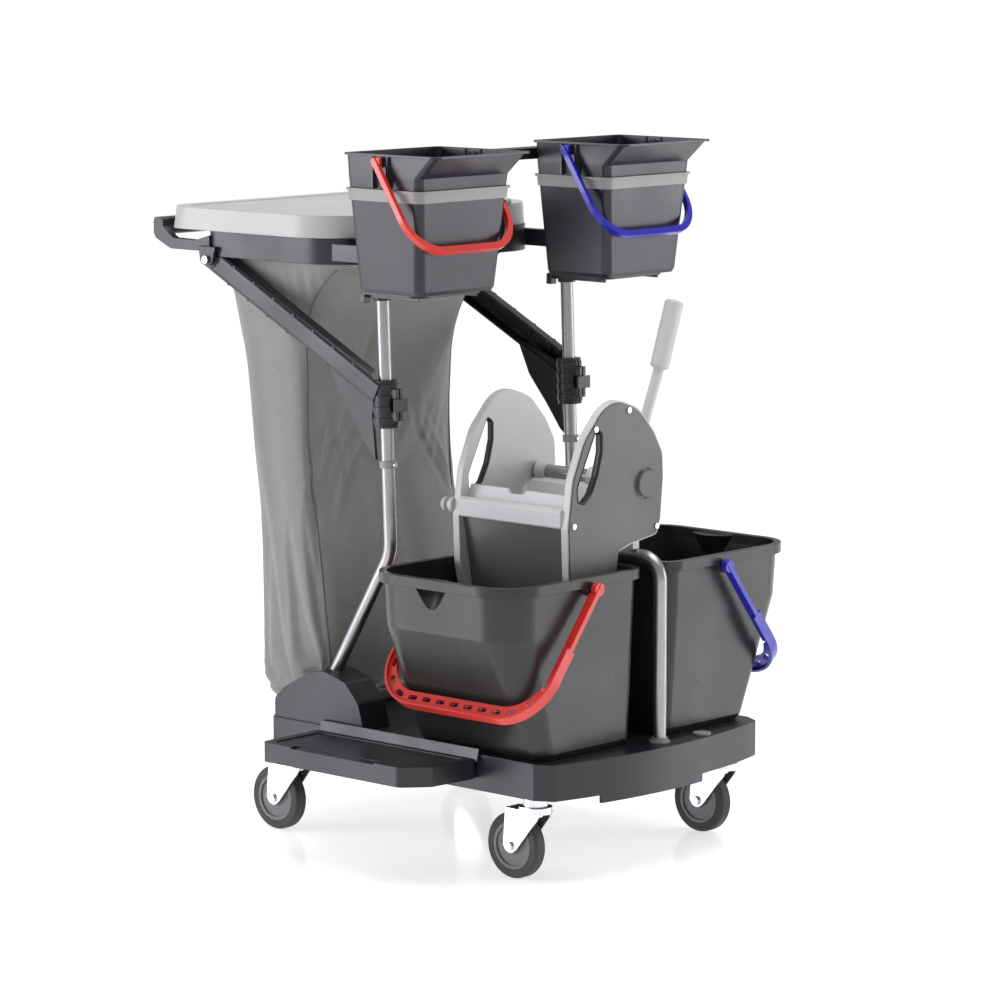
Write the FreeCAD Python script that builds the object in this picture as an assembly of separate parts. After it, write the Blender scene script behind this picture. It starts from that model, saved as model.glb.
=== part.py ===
"""Housekeeping cart: double-bucket mopping station with wringer, bag holder and two small buckets.

Frame: +X towards the buckets, +Z up, origin on the floor under the middle of the whole cart.
Millimetres. The cart is drawn about the middle of its wheelbase and moved to the origin at the end.
"""
import FreeCAD
import Part
import math
import os
from FreeCAD import Placement, Rotation, Vector as V

# ---- clearances -------------------------------------------------------------------------------
seat_gap = 0.3          # between a piece and what it rests on or fits round
pin_gap = 0.05          # radial, a pin in its hole
side_gap = 1.0          # between a moving piece and its neighbour

# ---- base and casters -------------------------------------------------------------------------
wheelbase = 500.0
track = 431.0
wheel_d = 100.0
wheel_w = 22.0
caster_trail = 38.0
base_half_w = 248.0
base_front_x = 341.0    # end of the deck at its corners, before the bow
base_bow = 33.0         # how far the end wall bulges forward at its middle
base_back_x = -330.0
base_back_half_w = 125.0
base_top_z = 184.6
base_skirt_z = 130.0
base_wall = 4.0
tower_back_x = -230.0
tower_top_z = 268.0
shelf_x0 = -122.0
shelf_x1 = 200.0
shelf_depth = 125.0
shelf_t = 30.0

# ---- uprights, bag frame and lid --------------------------------------------------------------
tube_d = 20.0
tube_wall = 1.5
upright_y = 208.3
upright_foot = V(-146, 0, 240)
upright_knee = V(-14, 0, 460)
upright_top = V(-36.5, 0, 1040)
ring_x0 = -398.0
ring_x1 = -90.0
ring_half_w = 230.0
ring_wall = 8.0
ring_top_z = 930.0
ring_bottom_z = 890.0
ring_corner_r = 84.0
lid_x0 = -484.0
lid_x1 = -88.0
lid_half_w = 242.0
lid_h = 34.0
handle_x = -498.0
strut_pivot = V(-380, 0, 885)
strut_depth = 38.0
clamp_z0 = 650.0
clamp_h = 72.0
clamp_r = 19.0

# ---- buckets ----------------------------------------------------------------------------------
big_x0 = 44.0
big_x1 = 342.0
big_inner_y = 24.0
big_outer_y = 333.0
big_bottom_z = base_top_z + seat_gap
big_rim_z = 454.0
big_waist_z = 372.0
big_wall = 3.0
rim_lip = 8.0
rim_h = 15.0
small_x0 = -8.0
small_x1 = 141.0
small_half_w = 101.0
small_bottom_z = 862.3
small_rim_z = 1070.0
small_wall = 2.5
spout_reach = 36.0

# ---- wringer ----------------------------------------------------------------------------------
wringer_x0 = 68.0
wringer_x1 = 298.0
wringer_plate_t = 12.0
shaft_y = 17.0
shaft_z = 572.0
shaft_d = 22.0
grip_r = 14.5
bridge_y = 3.0
bridge_front_x = 342.0
bridge_rear_x = 21.0
bridge_bend = 34.0
bridge_sunk = 30.0
saddle_in = 12.0
saddle_out = 2.0
saddle_top_z = 486.0
flange_r = 16.0
collar_r = 12.5
bridge_top_z = 474.0

sides = {"left": -1, "right": 1}
parts = {}


def add(name, *shapes):
    """Keep one node; several solids stay separate."""
    parts[name] = shapes[0] if len(shapes) == 1 else Part.makeCompound(list(shapes))


def box(x0, x1, y0, y1, z0, z1):
    y0, y1 = min(y0, y1), max(y0, y1)
    return Part.makeBox(x1 - x0, y1 - y0, z1 - z0, V(x0, y0, z0))


def pipe_x(x0, x1, y, z, r):
    return Part.makeCylinder(r, x1 - x0, V(x0, y, z), V(1, 0, 0))


def pipe_y(y0, y1, x, z, r):
    y0, y1 = min(y0, y1), max(y0, y1)
    return Part.makeCylinder(r, y1 - y0, V(x, y0, z), V(0, 1, 0))


def pipe_z(z0, z1, x, y, r):
    return Part.makeCylinder(r, z1 - z0, V(x, y, z0), V(0, 0, 1))


def rounded_wire(points, radii, closed=True):
    """Polyline with an arc of the given radius at each corner; radius 0 leaves it sharp."""
    if not hasattr(radii, "__len__"):
        radii = [radii] * len(points)
    n = len(points)
    stations = []
    for i, (p, r) in enumerate(zip(points, radii)):
        if r == 0 or (not closed and i in (0, n - 1)):
            stations.append((p, None, p))
            continue
        a = (points[i - 1] - p).normalize()
        b = (points[(i + 1) % n] - p).normalize()
        half = a.getAngle(b) / 2
        reach = r / math.tan(half)
        middle = (a + b).normalize() * (r / math.sin(half) - r)
        stations.append((p + a * reach, p + middle, p + b * reach))
    edges = []
    for i in range(n):
        start, mid, end = stations[i]
        if mid is not None:
            edges.append(Part.Arc(start, mid, end).toShape())
        if i == n - 1 and not closed:
            break
        following = stations[(i + 1) % n][0]
        if (following - end).Length > 1e-6:
            edges.append(Part.LineSegment(end, following).toShape())
    return Part.Wire(edges)


def prism(points, radii, along):
    """Solid from a rounded outline, extruded along a vector."""
    return Part.Face(rounded_wire([V(*p) for p in points], radii)).extrude(V(*along))


def rect_wire(x0, x1, y0, y1, z, radii):
    """Rounded rectangle; radii go (x0,y0), (x1,y0), (x1,y1), (x0,y1)."""
    corners = [V(x0, y0, z), V(x1, y0, z), V(x1, y1, z), V(x0, y1, z)]
    return rounded_wire(corners, radii)


def loft(wires, ruled=True):
    return Part.makeLoft(wires, True, ruled)


def sweep(points, radius, r):
    """Round bar of radius r along a polyline with arcs of one bend radius."""
    path = rounded_wire(points, radius, closed=False)
    start = points[0]
    direction = points[1] - points[0]
    ring = Part.Wire(Part.makeCircle(r, start, direction))
    return path.makePipeShell([ring], True, False)


def tube(points, radius, r, wall):
    return sweep(points, radius, r).cut(sweep(points, radius, r - wall))


def mirror_y(shape):
    return shape.mirror(V(0, 0, 0), V(0, 1, 0))


def on_side(shape, side):
    """Shapes are drawn on the -Y side."""
    return shape if side < 0 else mirror_y(shape)


# ---- casters ----------------------------------------------------------------------------------
caster_places = {
    "front_left": (wheelbase / 2, -track / 2),
    "front_right": (wheelbase / 2, track / 2),
    "rear_left": (-wheelbase / 2, -track / 2),
    "rear_right": (-wheelbase / 2, track / 2),
}
axle_r = 4.0
core_r = 36.0
fork_gap = 1.5
fork_t = 3.0
fork_leg_y = wheel_w / 2 + fork_gap
fork_crown_z = 108.0


def caster(name, x, y):
    """Wheel, tyre, axle, fork and swivel head; the fork trails towards -X."""
    swivel_x = x + caster_trail
    axle_z = wheel_d / 2
    core = pipe_y(y - wheel_w / 2, y + wheel_w / 2, x, axle_z, core_r)
    for face in (-1, 1):
        edge = y + face * wheel_w / 2
        recess = pipe_y(edge, edge - face * 2.5, x, axle_z, core_r - 5)
        boss = pipe_y(edge, edge - face * 2.5, x, axle_z, 12)
        core = core.cut(recess.cut(boss))
    core = core.cut(pipe_y(y - wheel_w, y + wheel_w, x, axle_z, axle_r + pin_gap))
    tyre = pipe_y(y - wheel_w / 2, y + wheel_w / 2, x, axle_z, wheel_d / 2)
    tyre = tyre.makeFillet(5.0, [e for e in tyre.Edges if e.Length > 300])
    tyre = tyre.cut(pipe_y(y - wheel_w, y + wheel_w, x, axle_z, core_r))
    fork_out = fork_leg_y + fork_t
    axle = pipe_y(y - fork_out - 2, y + fork_out + 2, x, axle_z, axle_r)
    for face in (-1, 1):
        axle = axle.fuse(pipe_y(y + face * (fork_out + seat_gap), y + face * (fork_out + 4), x, axle_z, 7))
    leg = [(x - 13, 0, axle_z), (x - 9, 0, 104), (swivel_x - 22, 0, fork_crown_z),
           (swivel_x + 22, 0, fork_crown_z), (swivel_x + 16, 0, 96), (x + 13, 0, axle_z - 4),
           (x, 0, axle_z - 14)]
    legs = []
    for face in (-1, 1):
        inner = y + face * fork_leg_y
        outline = [(px, inner, pz) for px, _, pz in leg]
        plate = prism(outline, [4, 8, 0, 0, 8, 8, 11], (0, face * fork_t, 0))
        legs.append(plate.cut(pipe_y(y - 30, y + 30, x, axle_z, axle_r + pin_gap)))
    crown = pipe_z(fork_crown_z - 4, fork_crown_z + 6, swivel_x, y, 25)
    crown = crown.common(box(swivel_x - 25, swivel_x + 25, y - fork_out - 6, y + fork_out + 6, 0, 200))
    bridge = box(x - 9, swivel_x, y - fork_out, y + fork_out, fork_crown_z - 3, fork_crown_z)
    fork = crown.fuse([bridge] + legs)
    fork = fork.cut(pipe_z(90, 140, swivel_x, y, 8.0 + pin_gap))
    stem = pipe_z(fork_crown_z - 8, base_skirt_z + 12, swivel_x, y, 8)
    head = pipe_z(fork_crown_z - 10, fork_crown_z - 4 - seat_gap, swivel_x, y, 11)
    cup = pipe_z(fork_crown_z + 6 + seat_gap, base_skirt_z + 2, swivel_x, y, 19)
    add("caster_fork_" + name, fork, axle)
    add("wheel_core_" + name, core)
    add("tyre_" + name, tyre)
    return swivel_x, stem.fuse([head, cup])


# ---- base -------------------------------------------------------------------------------------
swivel_boss_r = 30.0
chamfer_x = 28.0
socket_r = 16.0


def base_outline(inset, z):
    """Deck plan with a bowed front and chamfered front corners, pulled in by inset."""
    w = base_half_w - inset
    back = base_back_x + inset
    corner = base_front_x - inset
    bow = corner + base_bow
    corner_y = w - 15
    side_x = corner - chamfer_x
    shoulder = tower_back_x + inset / 2
    back_w = base_back_half_w - inset / 2
    edges = [
        Part.Arc(V(corner, -corner_y, z), V(bow, 0, z), V(corner, corner_y, z)).toShape(),
        Part.LineSegment(V(corner, corner_y, z), V(side_x, w, z)).toShape(),
        Part.LineSegment(V(side_x, w, z), V(shoulder, w, z)).toShape(),
        Part.LineSegment(V(shoulder, w, z), V(back, back_w, z)).toShape(),
        Part.LineSegment(V(back, back_w, z), V(back, -back_w, z)).toShape(),
        Part.LineSegment(V(back, -back_w, z), V(shoulder, -w, z)).toShape(),
        Part.LineSegment(V(shoulder, -w, z), V(side_x, -w, z)).toShape(),
        Part.LineSegment(V(side_x, -w, z), V(corner, -corner_y, z)).toShape(),
    ]
    return Part.Face(Part.Wire(edges))


def tower_wall(side):
    """Raised side wall beside the bag's foot; it carries the upright's socket."""
    outline = [
        (tower_back_x, 0, base_top_z), (tower_back_x, 0, 215), (-205, 0, 236), (-174, 0, 252),
        (-140, 0, tower_top_z - 2), (-122, 0, tower_top_z), (-78, 0, 256), (-50, 0, 226),
        (-38, 0, base_top_z),
    ]
    outer = [(px, -base_half_w + 4, pz) for px, _, pz in outline]
    wall = prism(outer, [0, 12, 30, 30, 8, 8, 14, 14, 0], (0, 58, 0))
    inner = [(px + (12 if px < -140 else -12), -base_half_w + 12, pz - 10) for px, _, pz in outline]
    pocket = prism(inner, 0, (0, 60, 0)).common(box(-400, -168, -300, 0, 0, 400))
    wall = wall.cut(pocket)
    return on_side(wall, side)


def upright_points(side, z_extra=0):
    y = side * upright_y
    return [V(p.x, y, p.z + z_extra) for p in (upright_foot, upright_knee, upright_top)]


def build_base(swivels):
    """Deck tray with skirt, bag platform, towers, ribs and sockets."""
    height = base_top_z - base_skirt_z
    shell = base_outline(0, base_skirt_z).extrude(V(0, 0, height))
    hollow = base_outline(base_wall, base_skirt_z - 1).extrude(V(0, 0, height - base_wall + 1))
    deck = shell.cut(hollow)
    deep_front = base_outline(0, base_skirt_z - 12).extrude(V(0, 0, 12 + base_wall))
    deep_front = deep_front.cut(base_outline(base_wall, 0).extrude(V(0, 0, 300)))
    deep_front = deep_front.common(box(base_front_x - 10, 400, -150, 70, 0, 300))
    deck = deck.fuse(deep_front)
    for rib_y in (-120, 0, 120):
        deck = deck.fuse(box(base_back_x + 2, base_front_x, rib_y - 2, rib_y + 2, base_skirt_z + 8,
                             base_top_z - 2))
    for rib_x in (-90, 60, 170):
        deck = deck.fuse(box(rib_x - 2, rib_x + 2, -base_half_w + 2, base_half_w - 2,
                             base_skirt_z + 8, base_top_z - 2))
    for x, y in swivels:
        deck = deck.fuse(pipe_z(base_skirt_z + 2 + seat_gap, base_top_z - 2, x, y, swivel_boss_r))
    for x, y in swivels:
        deck = deck.cut(pipe_z(base_skirt_z, base_skirt_z + 12 + seat_gap, x, y, 8 + pin_gap))
    for side in sides.values():
        deck = deck.fuse(tower_wall(side))
        foot, knee, _ = upright_points(side)
        run = (knee - foot).normalize()
        socket = Part.makeCylinder(socket_r, 50, foot - run * 26, run)
        socket = socket.common(box(-400, 400, -400, 400, base_top_z - 2, 400))
        deck = deck.fuse(socket)
        bore = Part.makeCylinder(tube_d / 2 + seat_gap, 120, foot, run)
        deck = deck.cut(bore)
    for x, y in bridge_feet:
        deck = deck.cut(pipe_z(base_top_z - 40, base_top_z + 1, x, y, tube_d / 2 + seat_gap))
    for x in shelf_hinge_x:
        deck = deck.fuse(hinge_ear(x))
    add("base_deck", deck.removeSplitter())


# ---- side shelf -------------------------------------------------------------------------------
hinge_y = -base_half_w - 8.0
hinge_z = base_skirt_z + 16.0
hinge_pin_r = 3.0
shelf_hinge_x = (shelf_x0 + 40, shelf_x1 - 50)
ear_w = 14.0


def hinge_ear(x):
    """Knuckle of the base between the shelf's two knuckles."""
    ear = pipe_x(x - ear_w / 2, x + ear_w / 2, hinge_y, hinge_z, 7)
    ear = ear.fuse(box(x - ear_w / 2, x + ear_w / 2, hinge_y, -base_half_w + 1, hinge_z - 7, hinge_z + 7))
    return ear.cut(pipe_x(x - 20, x + 20, hinge_y, hinge_z, hinge_pin_r + pin_gap))


def build_shelf():
    """Drop-leaf side shelf with a raised inner flange and a rounded outer lip."""
    y0 = -base_half_w - side_gap - 2
    y1 = y0 - shelf_depth
    top = 178.0
    plan = [(shelf_x0 - 6, y0, top - shelf_t), (shelf_x1, y0, top - shelf_t),
            (shelf_x1 - 6, y1 + 36, top - shelf_t), (shelf_x1 - 38, y1, top - shelf_t),
            (shelf_x0 - 4, y1, top - shelf_t)]
    slab = prism(plan, [4, 4, 10, 14, 12], (0, 0, shelf_t))
    under = [(shelf_x0 + 2, y0 - 5, 0), (shelf_x1 - 6, y0 - 5, 0), (shelf_x1 - 12, y1 + 38, 0),
             (shelf_x1 - 42, y1 + 5, 0), (shelf_x0 + 2, y1 + 5, 0)]
    shelf = slab.cut(prism(under, 6, (0, 0, top - 4)))
    dish = [(shelf_x0 + 10, y0 - 12, top - 1.5), (shelf_x1 - 12, y0 - 12, top - 1.5),
            (shelf_x1 - 18, y1 + 40, top - 1.5), (shelf_x1 - 50, y1 + 14, top - 1.5),
            (shelf_x0 + 10, y1 + 14, top - 1.5)]
    shelf = shelf.cut(prism(dish, 8, (0, 0, 5)))
    dip = box(shelf_x0 + 60, shelf_x1 - 90, y1 - 5, y1 + 20, top - 2.5, top + 5)
    shelf = shelf.cut(dip)
    flange = [(0, y0 - 4, top - 4), (0, y0, top - 4), (0, y0 + 5, 192), (0, y0 + 1, 193.5)]
    shelf = shelf.fuse(prism([(shelf_x0 - 2, py, pz) for _, py, pz in flange], 0,
                             (shelf_x1 - shelf_x0 + 8, 0, 0)))
    for x in shelf_hinge_x:
        gap = box(x - ear_w / 2 - 12, x + ear_w / 2 + 12, -base_half_w - 30, -base_half_w,
                  top - shelf_t - 1, top - 6)
        shelf = shelf.cut(gap)
        for face in (-1, 1):
            inner = x + face * (ear_w / 2 + seat_gap)
            outer = x + face * (ear_w / 2 + 11)
            lo, hi = min(inner, outer), max(inner, outer)
            knuckle = pipe_x(lo, hi, hinge_y, hinge_z, 7)
            arm = box(lo, hi, hinge_y - 26, hinge_y, hinge_z - 4, top - 3)
            shelf = shelf.fuse(knuckle).fuse(arm.cut(pipe_x(lo, hi, hinge_y, hinge_z, 7)))
    shelf = shelf.cut(pipe_x(shelf_x0, shelf_x1, hinge_y, hinge_z, hinge_pin_r + pin_gap))
    keep_out = box(shelf_x0 - 20, shelf_x1 + 20, -base_half_w - side_gap, 0, 0, base_top_z + side_gap)
    add("side_shelf", shelf.cut(keep_out).removeSplitter())
    pins = [pipe_x(x - ear_w / 2 - 12, x + ear_w / 2 + 12, hinge_y, hinge_z, hinge_pin_r)
            for x in shelf_hinge_x]
    add("shelf_hinge_pins", *pins)


# ---- uprights and their fittings --------------------------------------------------------------
def upright_at(z):
    """Centre X of the long upper run of the upright at a height."""
    share = (z - upright_knee.z) / (upright_top.z - upright_knee.z)
    return upright_knee.x + share * (upright_top.x - upright_knee.x)


def upright_run():
    return (upright_top - upright_knee).normalize()


def along_upright(z0, z1, side, r):
    """Cylinder round the upright's long run between two heights."""
    run = upright_run()
    start = V(upright_at(z0), side * upright_y, z0)
    return Part.makeCylinder(r, (z1 - z0) / run.z, start, run)


def build_upright(label, side):
    add("upright_" + label, tube(upright_points(side), 60, tube_d / 2, tube_wall))


gusset_foot_z = 600.0
beam_wall = 3.0
beam_round = 9.0
strut_y_in = -208.0
strut_y_out = -230.0
gusset_y = -217.0
eye_r = 14.0
rib_count = 7


def long_edges(shape, y_limit):
    """Long edges on the outer side of a left-hand bar."""
    return [e for e in shape.Edges if e.Length > 100 and e.BoundBox.YMax < y_limit]


def build_strut(label, side):
    """Hollow strut with rounded outer edges, inner ribs, gusset web and the clip on the upright."""
    slope = V(upright_at(clamp_z0 + 53) - strut_pivot.x, 0, clamp_z0 + 53 - strut_pivot.z)
    run = V(slope.x, 0, slope.z).normalize()
    normal = V(-run.z, 0, run.x)
    half = strut_depth / 2
    end_x = upright_at(clamp_z0 + 53) - clamp_r - seat_gap - 1

    def at(share, offset, y):
        p = strut_pivot + slope * share + normal * offset
        return V(p.x, y, p.z)

    def bar(lo, hi, y0, y1):
        outline = [at(0.0, lo, y0), at(1.0, lo, y0), at(1.0, hi, y0), at(0.0, hi, y0)]
        return prism(outline, 0, (0, y1 - y0, 0))

    beam = bar(-half, half, strut_y_out, strut_y_in)
    beam = beam.makeFillet(beam_round, long_edges(beam, strut_y_out + 1))
    hollow = bar(-half + beam_wall, half - beam_wall, strut_y_out + beam_wall, strut_y_in + 8)
    hollow = hollow.makeFillet(beam_round - beam_wall, long_edges(hollow, strut_y_out + 5))
    eye = pipe_y(strut_y_out - 2, strut_y_in, strut_pivot.x, strut_pivot.z, eye_r)
    strut = beam.cut(hollow).fuse(eye)
    for k in range(1, rib_count + 1):
        share = 0.12 * k
        rib_y = strut_y_out + 1
        rib = [at(share, -half + 2, rib_y), at(share + 0.01, -half + 2, rib_y),
               at(share + 0.01, half - 2, rib_y), at(share, half - 2, rib_y)]
        strut = strut.fuse(prism(rib, 0, (0, 6, 0)))
    gusset = [at(0.70, -half + 4, gusset_y), V(-112, gusset_y, 690), V(-74, gusset_y, 645),
              V(-46, gusset_y, gusset_foot_z + 8), V(-36.5, gusset_y, gusset_foot_z),
              V(end_x, gusset_y, clamp_z0 + 20), at(0.97, 0, gusset_y)]
    strut = strut.fuse(prism(gusset, 0, (0, 5, 0)))
    clip = along_upright(gusset_foot_z, clamp_z0 - seat_gap, -1, tube_d / 2 + 4)
    clip = clip.common(box(-100, upright_at(clamp_z0) + 2, -300, 0, 0, 1100))
    strut = strut.fuse(clip)
    strut = strut.cut(along_upright(500, 900, -1, tube_d / 2 + seat_gap))
    strut = strut.cut(along_upright(clamp_z0 - seat_gap, clamp_z0 + clamp_h + 20, -1,
                                    clamp_r + 1.2 + seat_gap))
    strut = strut.cut(pipe_y(-250, -200, strut_pivot.x, strut_pivot.z, 4 + pin_gap))
    strut = strut.cut(box(-500, -300, -260, -200, ring_bottom_z, 1000))
    solids = sorted(strut.Solids, key=lambda s: -s.Volume)
    add("strut_" + label, on_side(solids[0].removeSplitter(), side))
    pin = pipe_y(-241, -208, strut_pivot.x, strut_pivot.z, 4)
    pin = pin.fuse(pipe_y(-241 - 2, -238 - seat_gap - 0.2, strut_pivot.x, strut_pivot.z, 6))
    return on_side(pin, side)


lever_t = 5.0


def build_clamp(label, side):
    """Split collar round the upright with its knuckles, and the cam lever that closes it."""
    collar = along_upright(clamp_z0, clamp_z0 + clamp_h, -1, clamp_r)
    for k in range(4):
        z0 = clamp_z0 + 5 + k * 17
        collar = collar.fuse(along_upright(z0, z0 + 11, -1, clamp_r + 1.2))
    x = upright_at(clamp_z0 + clamp_h / 2)
    ears = box(x + clamp_r - 4, x + clamp_r + 9, -upright_y - 7, -upright_y + 7, clamp_z0 + 12,
               clamp_z0 + clamp_h - 12)
    collar = collar.fuse(ears)
    slit = box(x + clamp_r - 3, x + clamp_r + 20, -upright_y - 1.2, -upright_y + 1.2, clamp_z0 - 5,
               clamp_z0 + clamp_h + 5)
    collar = collar.cut(slit)
    pivot_x = x + clamp_r + 3.5
    notch_z0 = clamp_z0 + 26
    notch_z1 = clamp_z0 + clamp_h - 26
    notch = box(pivot_x - 6.5, pivot_x + 20, -upright_y - 8, -upright_y + 8, notch_z0, notch_z1)
    collar = collar.cut(notch)
    collar = collar.cut(along_upright(500, 900, -1, tube_d / 2 + pin_gap))
    pin_hole = pipe_z(clamp_z0 + 8, clamp_z0 + clamp_h - 8, pivot_x, -upright_y, 2 + pin_gap)
    collar = collar.cut(pin_hole)
    add("clamp_" + label, on_side(collar, side))
    lever = pipe_z(notch_z0 + seat_gap, notch_z1 - seat_gap, pivot_x, -upright_y, 5)
    arm = box(pivot_x, pivot_x + 8, -upright_y - 5, -upright_y + 5, notch_z0 + seat_gap,
              notch_z1 - seat_gap)
    tab = box(pivot_x + 4, pivot_x + 4 + lever_t, -upright_y - 14, -upright_y + 14,
              notch_z0 + seat_gap, notch_z1 - seat_gap)
    lever = lever.fuse([arm, tab.common(box(pivot_x + 6.5, pivot_x + 20, -400, 0, 0, 1000))])
    lever = lever.cut(pipe_z(clamp_z0, clamp_z0 + clamp_h, pivot_x, -upright_y, 2 + pin_gap))
    add("clamp_lever_" + label, on_side(lever, side))
    return pivot_x


def build_stop_rings():
    """Small grey stop ring on each upright under the strut's clip, with its screw."""
    rings, screws = [], []
    for side in sides.values():
        z0, z1 = gusset_foot_z - 11, gusset_foot_z - seat_gap
        ring = along_upright(z0, z1, side, tube_d / 2 + 3)
        ring = ring.cut(along_upright(z0 - 5, z1 + 5, side, tube_d / 2 + pin_gap))
        x = upright_at((z0 + z1) / 2)
        screw_x = x + tube_d / 2 + 1
        hole = pipe_x(screw_x - 3, screw_x + 9, side * upright_y, (z0 + z1) / 2, 2 + pin_gap)
        rings.append(ring.cut(hole))
        screws.append(pipe_x(screw_x, screw_x + 3, side * upright_y, (z0 + z1) / 2, 2).fuse(
            pipe_x(screw_x + 3.2, screw_x + 5.5, side * upright_y, (z0 + z1) / 2, 3.5)))
    add("stop_rings", *rings)
    add("stop_ring_screws", *screws)


# ---- bag frame, lid and bag -------------------------------------------------------------------
lid_pivot_x = lid_x1 - 6.0
lid_pivot_z = ring_top_z + seat_gap + lid_h + 4
ring_radii = (30, ring_corner_r, ring_corner_r, 30)


def ring_wire(inset, z, corner_extra=0.0):
    w = ring_half_w - inset
    radii = [max(r - inset - corner_extra, 6) for r in ring_radii]
    return rect_wire(ring_x0 + inset, ring_x1 - inset, -w, w, z, radii)


def build_bag_frame():
    """Hoop that carries the bag, its push handle, strut lugs and brackets to the uprights."""
    height = ring_top_z - ring_bottom_z
    hoop = Part.Face(ring_wire(0, ring_bottom_z)).extrude(V(0, 0, height))
    hoop = hoop.cut(Part.Face(ring_wire(ring_wall, 0)).extrude(V(0, 0, 2000)))
    rise = [(-420, -300, ring_bottom_z - 20), (-182, -300, ring_bottom_z), (-343, -300, 909),
            (-392, -300, 922), (-420, -300, 922)]
    hoop = hoop.cut(prism(rise, [0, 30, 30, 0, 0], (0, 600, 0)))
    frame = hoop
    for side in sides.values():
        arm_out = ring_half_w + 2
        arm = [(-380, -arm_out, 922), (-412, -arm_out, 913), (-462, -arm_out, 914),
               (-484, -arm_out, 930), (-486, -arm_out, 943), (handle_x - 8, -arm_out, 943),
               (handle_x - 8, -arm_out, 914), (-468, -arm_out, 897), (-380, -arm_out, 897)]
        arm = prism(arm, [0, 12, 12, 8, 3, 8, 14, 20, 0], (0, 12, 0))
        arm = arm.cut(Part.Face(ring_wire(ring_wall, 0)).extrude(V(0, 0, 2000)))
        lug = [(-398, -238, 902), (-394, -238, 880), (-380, -238, 874), (-368, -238, 880),
               (-362, -238, 905)]
        lug = prism(lug, [0, 8, 12, 8, 0], (0, 5.5, 0))
        root = box(-398, -362, -238, -224, 898, 905)
        lug = lug.fuse(root)
        lug = lug.cut(pipe_y(-260, -200, strut_pivot.x, strut_pivot.z, 4 + pin_gap))
        frame = frame.fuse([on_side(arm, side), on_side(lug, side)])
    grip = [(handle_x - 8, 0, 918), (handle_x - 8, 0, 945), (handle_x + 9, 0, 945),
            (handle_x + 11, 0, 932), (handle_x + 6, 0, 916)]
    arm_in = ring_half_w + 2
    grip = prism([(px, -arm_in, pz) for px, _, pz in grip], [8, 7, 5, 4, 6], (0, 2 * arm_in, 0))
    frame = frame.fuse(grip)
    for side in sides.values():
        x = upright_at(905)
        lobe = along_upright(ring_bottom_z + 4, ring_top_z - 6, side, tube_d / 2 + 5)
        link = box(ring_x1 - ring_wall - 70, x, side * (upright_y - 8), side * (upright_y + 8),
                   ring_bottom_z + 6, ring_top_z - 8)
        link = link.cut(Part.Face(ring_wire(ring_wall, 0)).extrude(V(0, 0, 2000)))
        frame = frame.fuse([lobe, link])
        frame = frame.cut(along_upright(800, 1000, side, tube_d / 2 + seat_gap))
    for y in (-120, 0, 120):
        ear = pipe_y(y - 8, y + 8, lid_pivot_x, lid_pivot_z, 6)
        post = box(ring_x1 - 4, ring_x1 + 5, y - 8, y + 8, ring_top_z - 20, lid_pivot_z)
        cap = box(lid_pivot_x, ring_x1 + 5, y - 8, y + 8, lid_pivot_z - 4, lid_pivot_z + 4)
        frame = frame.fuse([ear, post, cap])
        frame = frame.cut(pipe_y(y - 30, y + 30, lid_pivot_x, lid_pivot_z, 2.5 + pin_gap))
    add("bag_frame", frame.removeSplitter())


def build_lid():
    """Shallow tray lid with a raised border and hinge knuckles along its front edge."""
    z0 = ring_top_z + seat_gap
    z1 = z0 + lid_h
    x1 = lid_x1 - 8
    radii = [58, 96, 96, 58]
    lower = rect_wire(lid_x0, x1, -lid_half_w, lid_half_w, z0, radii)
    upper = rect_wire(lid_x0 + 5, x1 - 2, 4 - lid_half_w, lid_half_w - 4, z1, [54, 92, 92, 54])
    lid = loft([lower, upper])
    inner_low = rect_wire(lid_x0 + 4, x1 - 4, 4 - lid_half_w, lid_half_w - 4, z0 - 1, [54, 92, 92, 54])
    inner_top = rect_wire(lid_x0 + 9, x1 - 6, 8 - lid_half_w, lid_half_w - 8, z1 - 5, [50, 88, 88, 50])
    lid = lid.cut(loft([inner_low, inner_top]))
    panel = rect_wire(lid_x0 + 26, x1 - 22, 24 - lid_half_w, lid_half_w - 24, z1 - 2, [38, 76, 76, 38])
    lid = lid.cut(Part.Face(panel).extrude(V(0, 0, 10)))
    rib_x = ring_x0 + ring_wall / 2
    for y in (-150, 150):
        lid = lid.fuse(box(rib_x + 20, x1 - 60, y - 1.5, y + 1.5, z0 + 3, z1 - 4))
    for y in (-120, 0, 120):
        for face in (-1, 1):
            lo = y + face * (8 + seat_gap)
            hi = y + face * 24
            knuckle = pipe_y(lo, hi, lid_pivot_x, lid_pivot_z, 6)
            web = box(lid_pivot_x - 16, lid_pivot_x, lo, hi, z1 - 6, lid_pivot_z)
            lid = lid.fuse([knuckle, web])
        clear = box(lid_pivot_x - 8, lid_x1 + 10, y - 8 - seat_gap, y + 8 + seat_gap, z0 - 2, z1 + 20)
        lid = lid.cut(clear)
        lid = lid.cut(pipe_y(y - 30, y + 30, lid_pivot_x, lid_pivot_z, 2.5 + pin_gap))
    add("lid", lid.removeSplitter())
    add("lid_hinge_pins", *[pipe_y(y - 23, y + 23, lid_pivot_x, lid_pivot_z, 2.5)
                            for y in (-120, 0, 120)])


bag_wall = 3.0
zip_flap = 12.0
bag_foot_z = base_top_z + seat_gap
bag_sections = (
    # height, back X, front X, half width, back corner radius, front corner radius
    (bag_foot_z, -322, -196, 150, 40, 40),
    (bag_foot_z + 22, -346, -176, 172, 45, 40),
    (265, -350, -174, 178, 45, 38),
    (434, -356, -198, 175, 45, 36),
    (520, -363, -214, 172, 45, 36),
    (620, -378, -226, 172, 45, 36),
    (730, -385, -227, 175, 42, 38),
    (805, -389, -212, 188, 38, 45),
    (850, -389, -172, 203, 32, 62),
    (ring_bottom_z + 2, -389, -116, 205, 30, 76),
)


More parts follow.
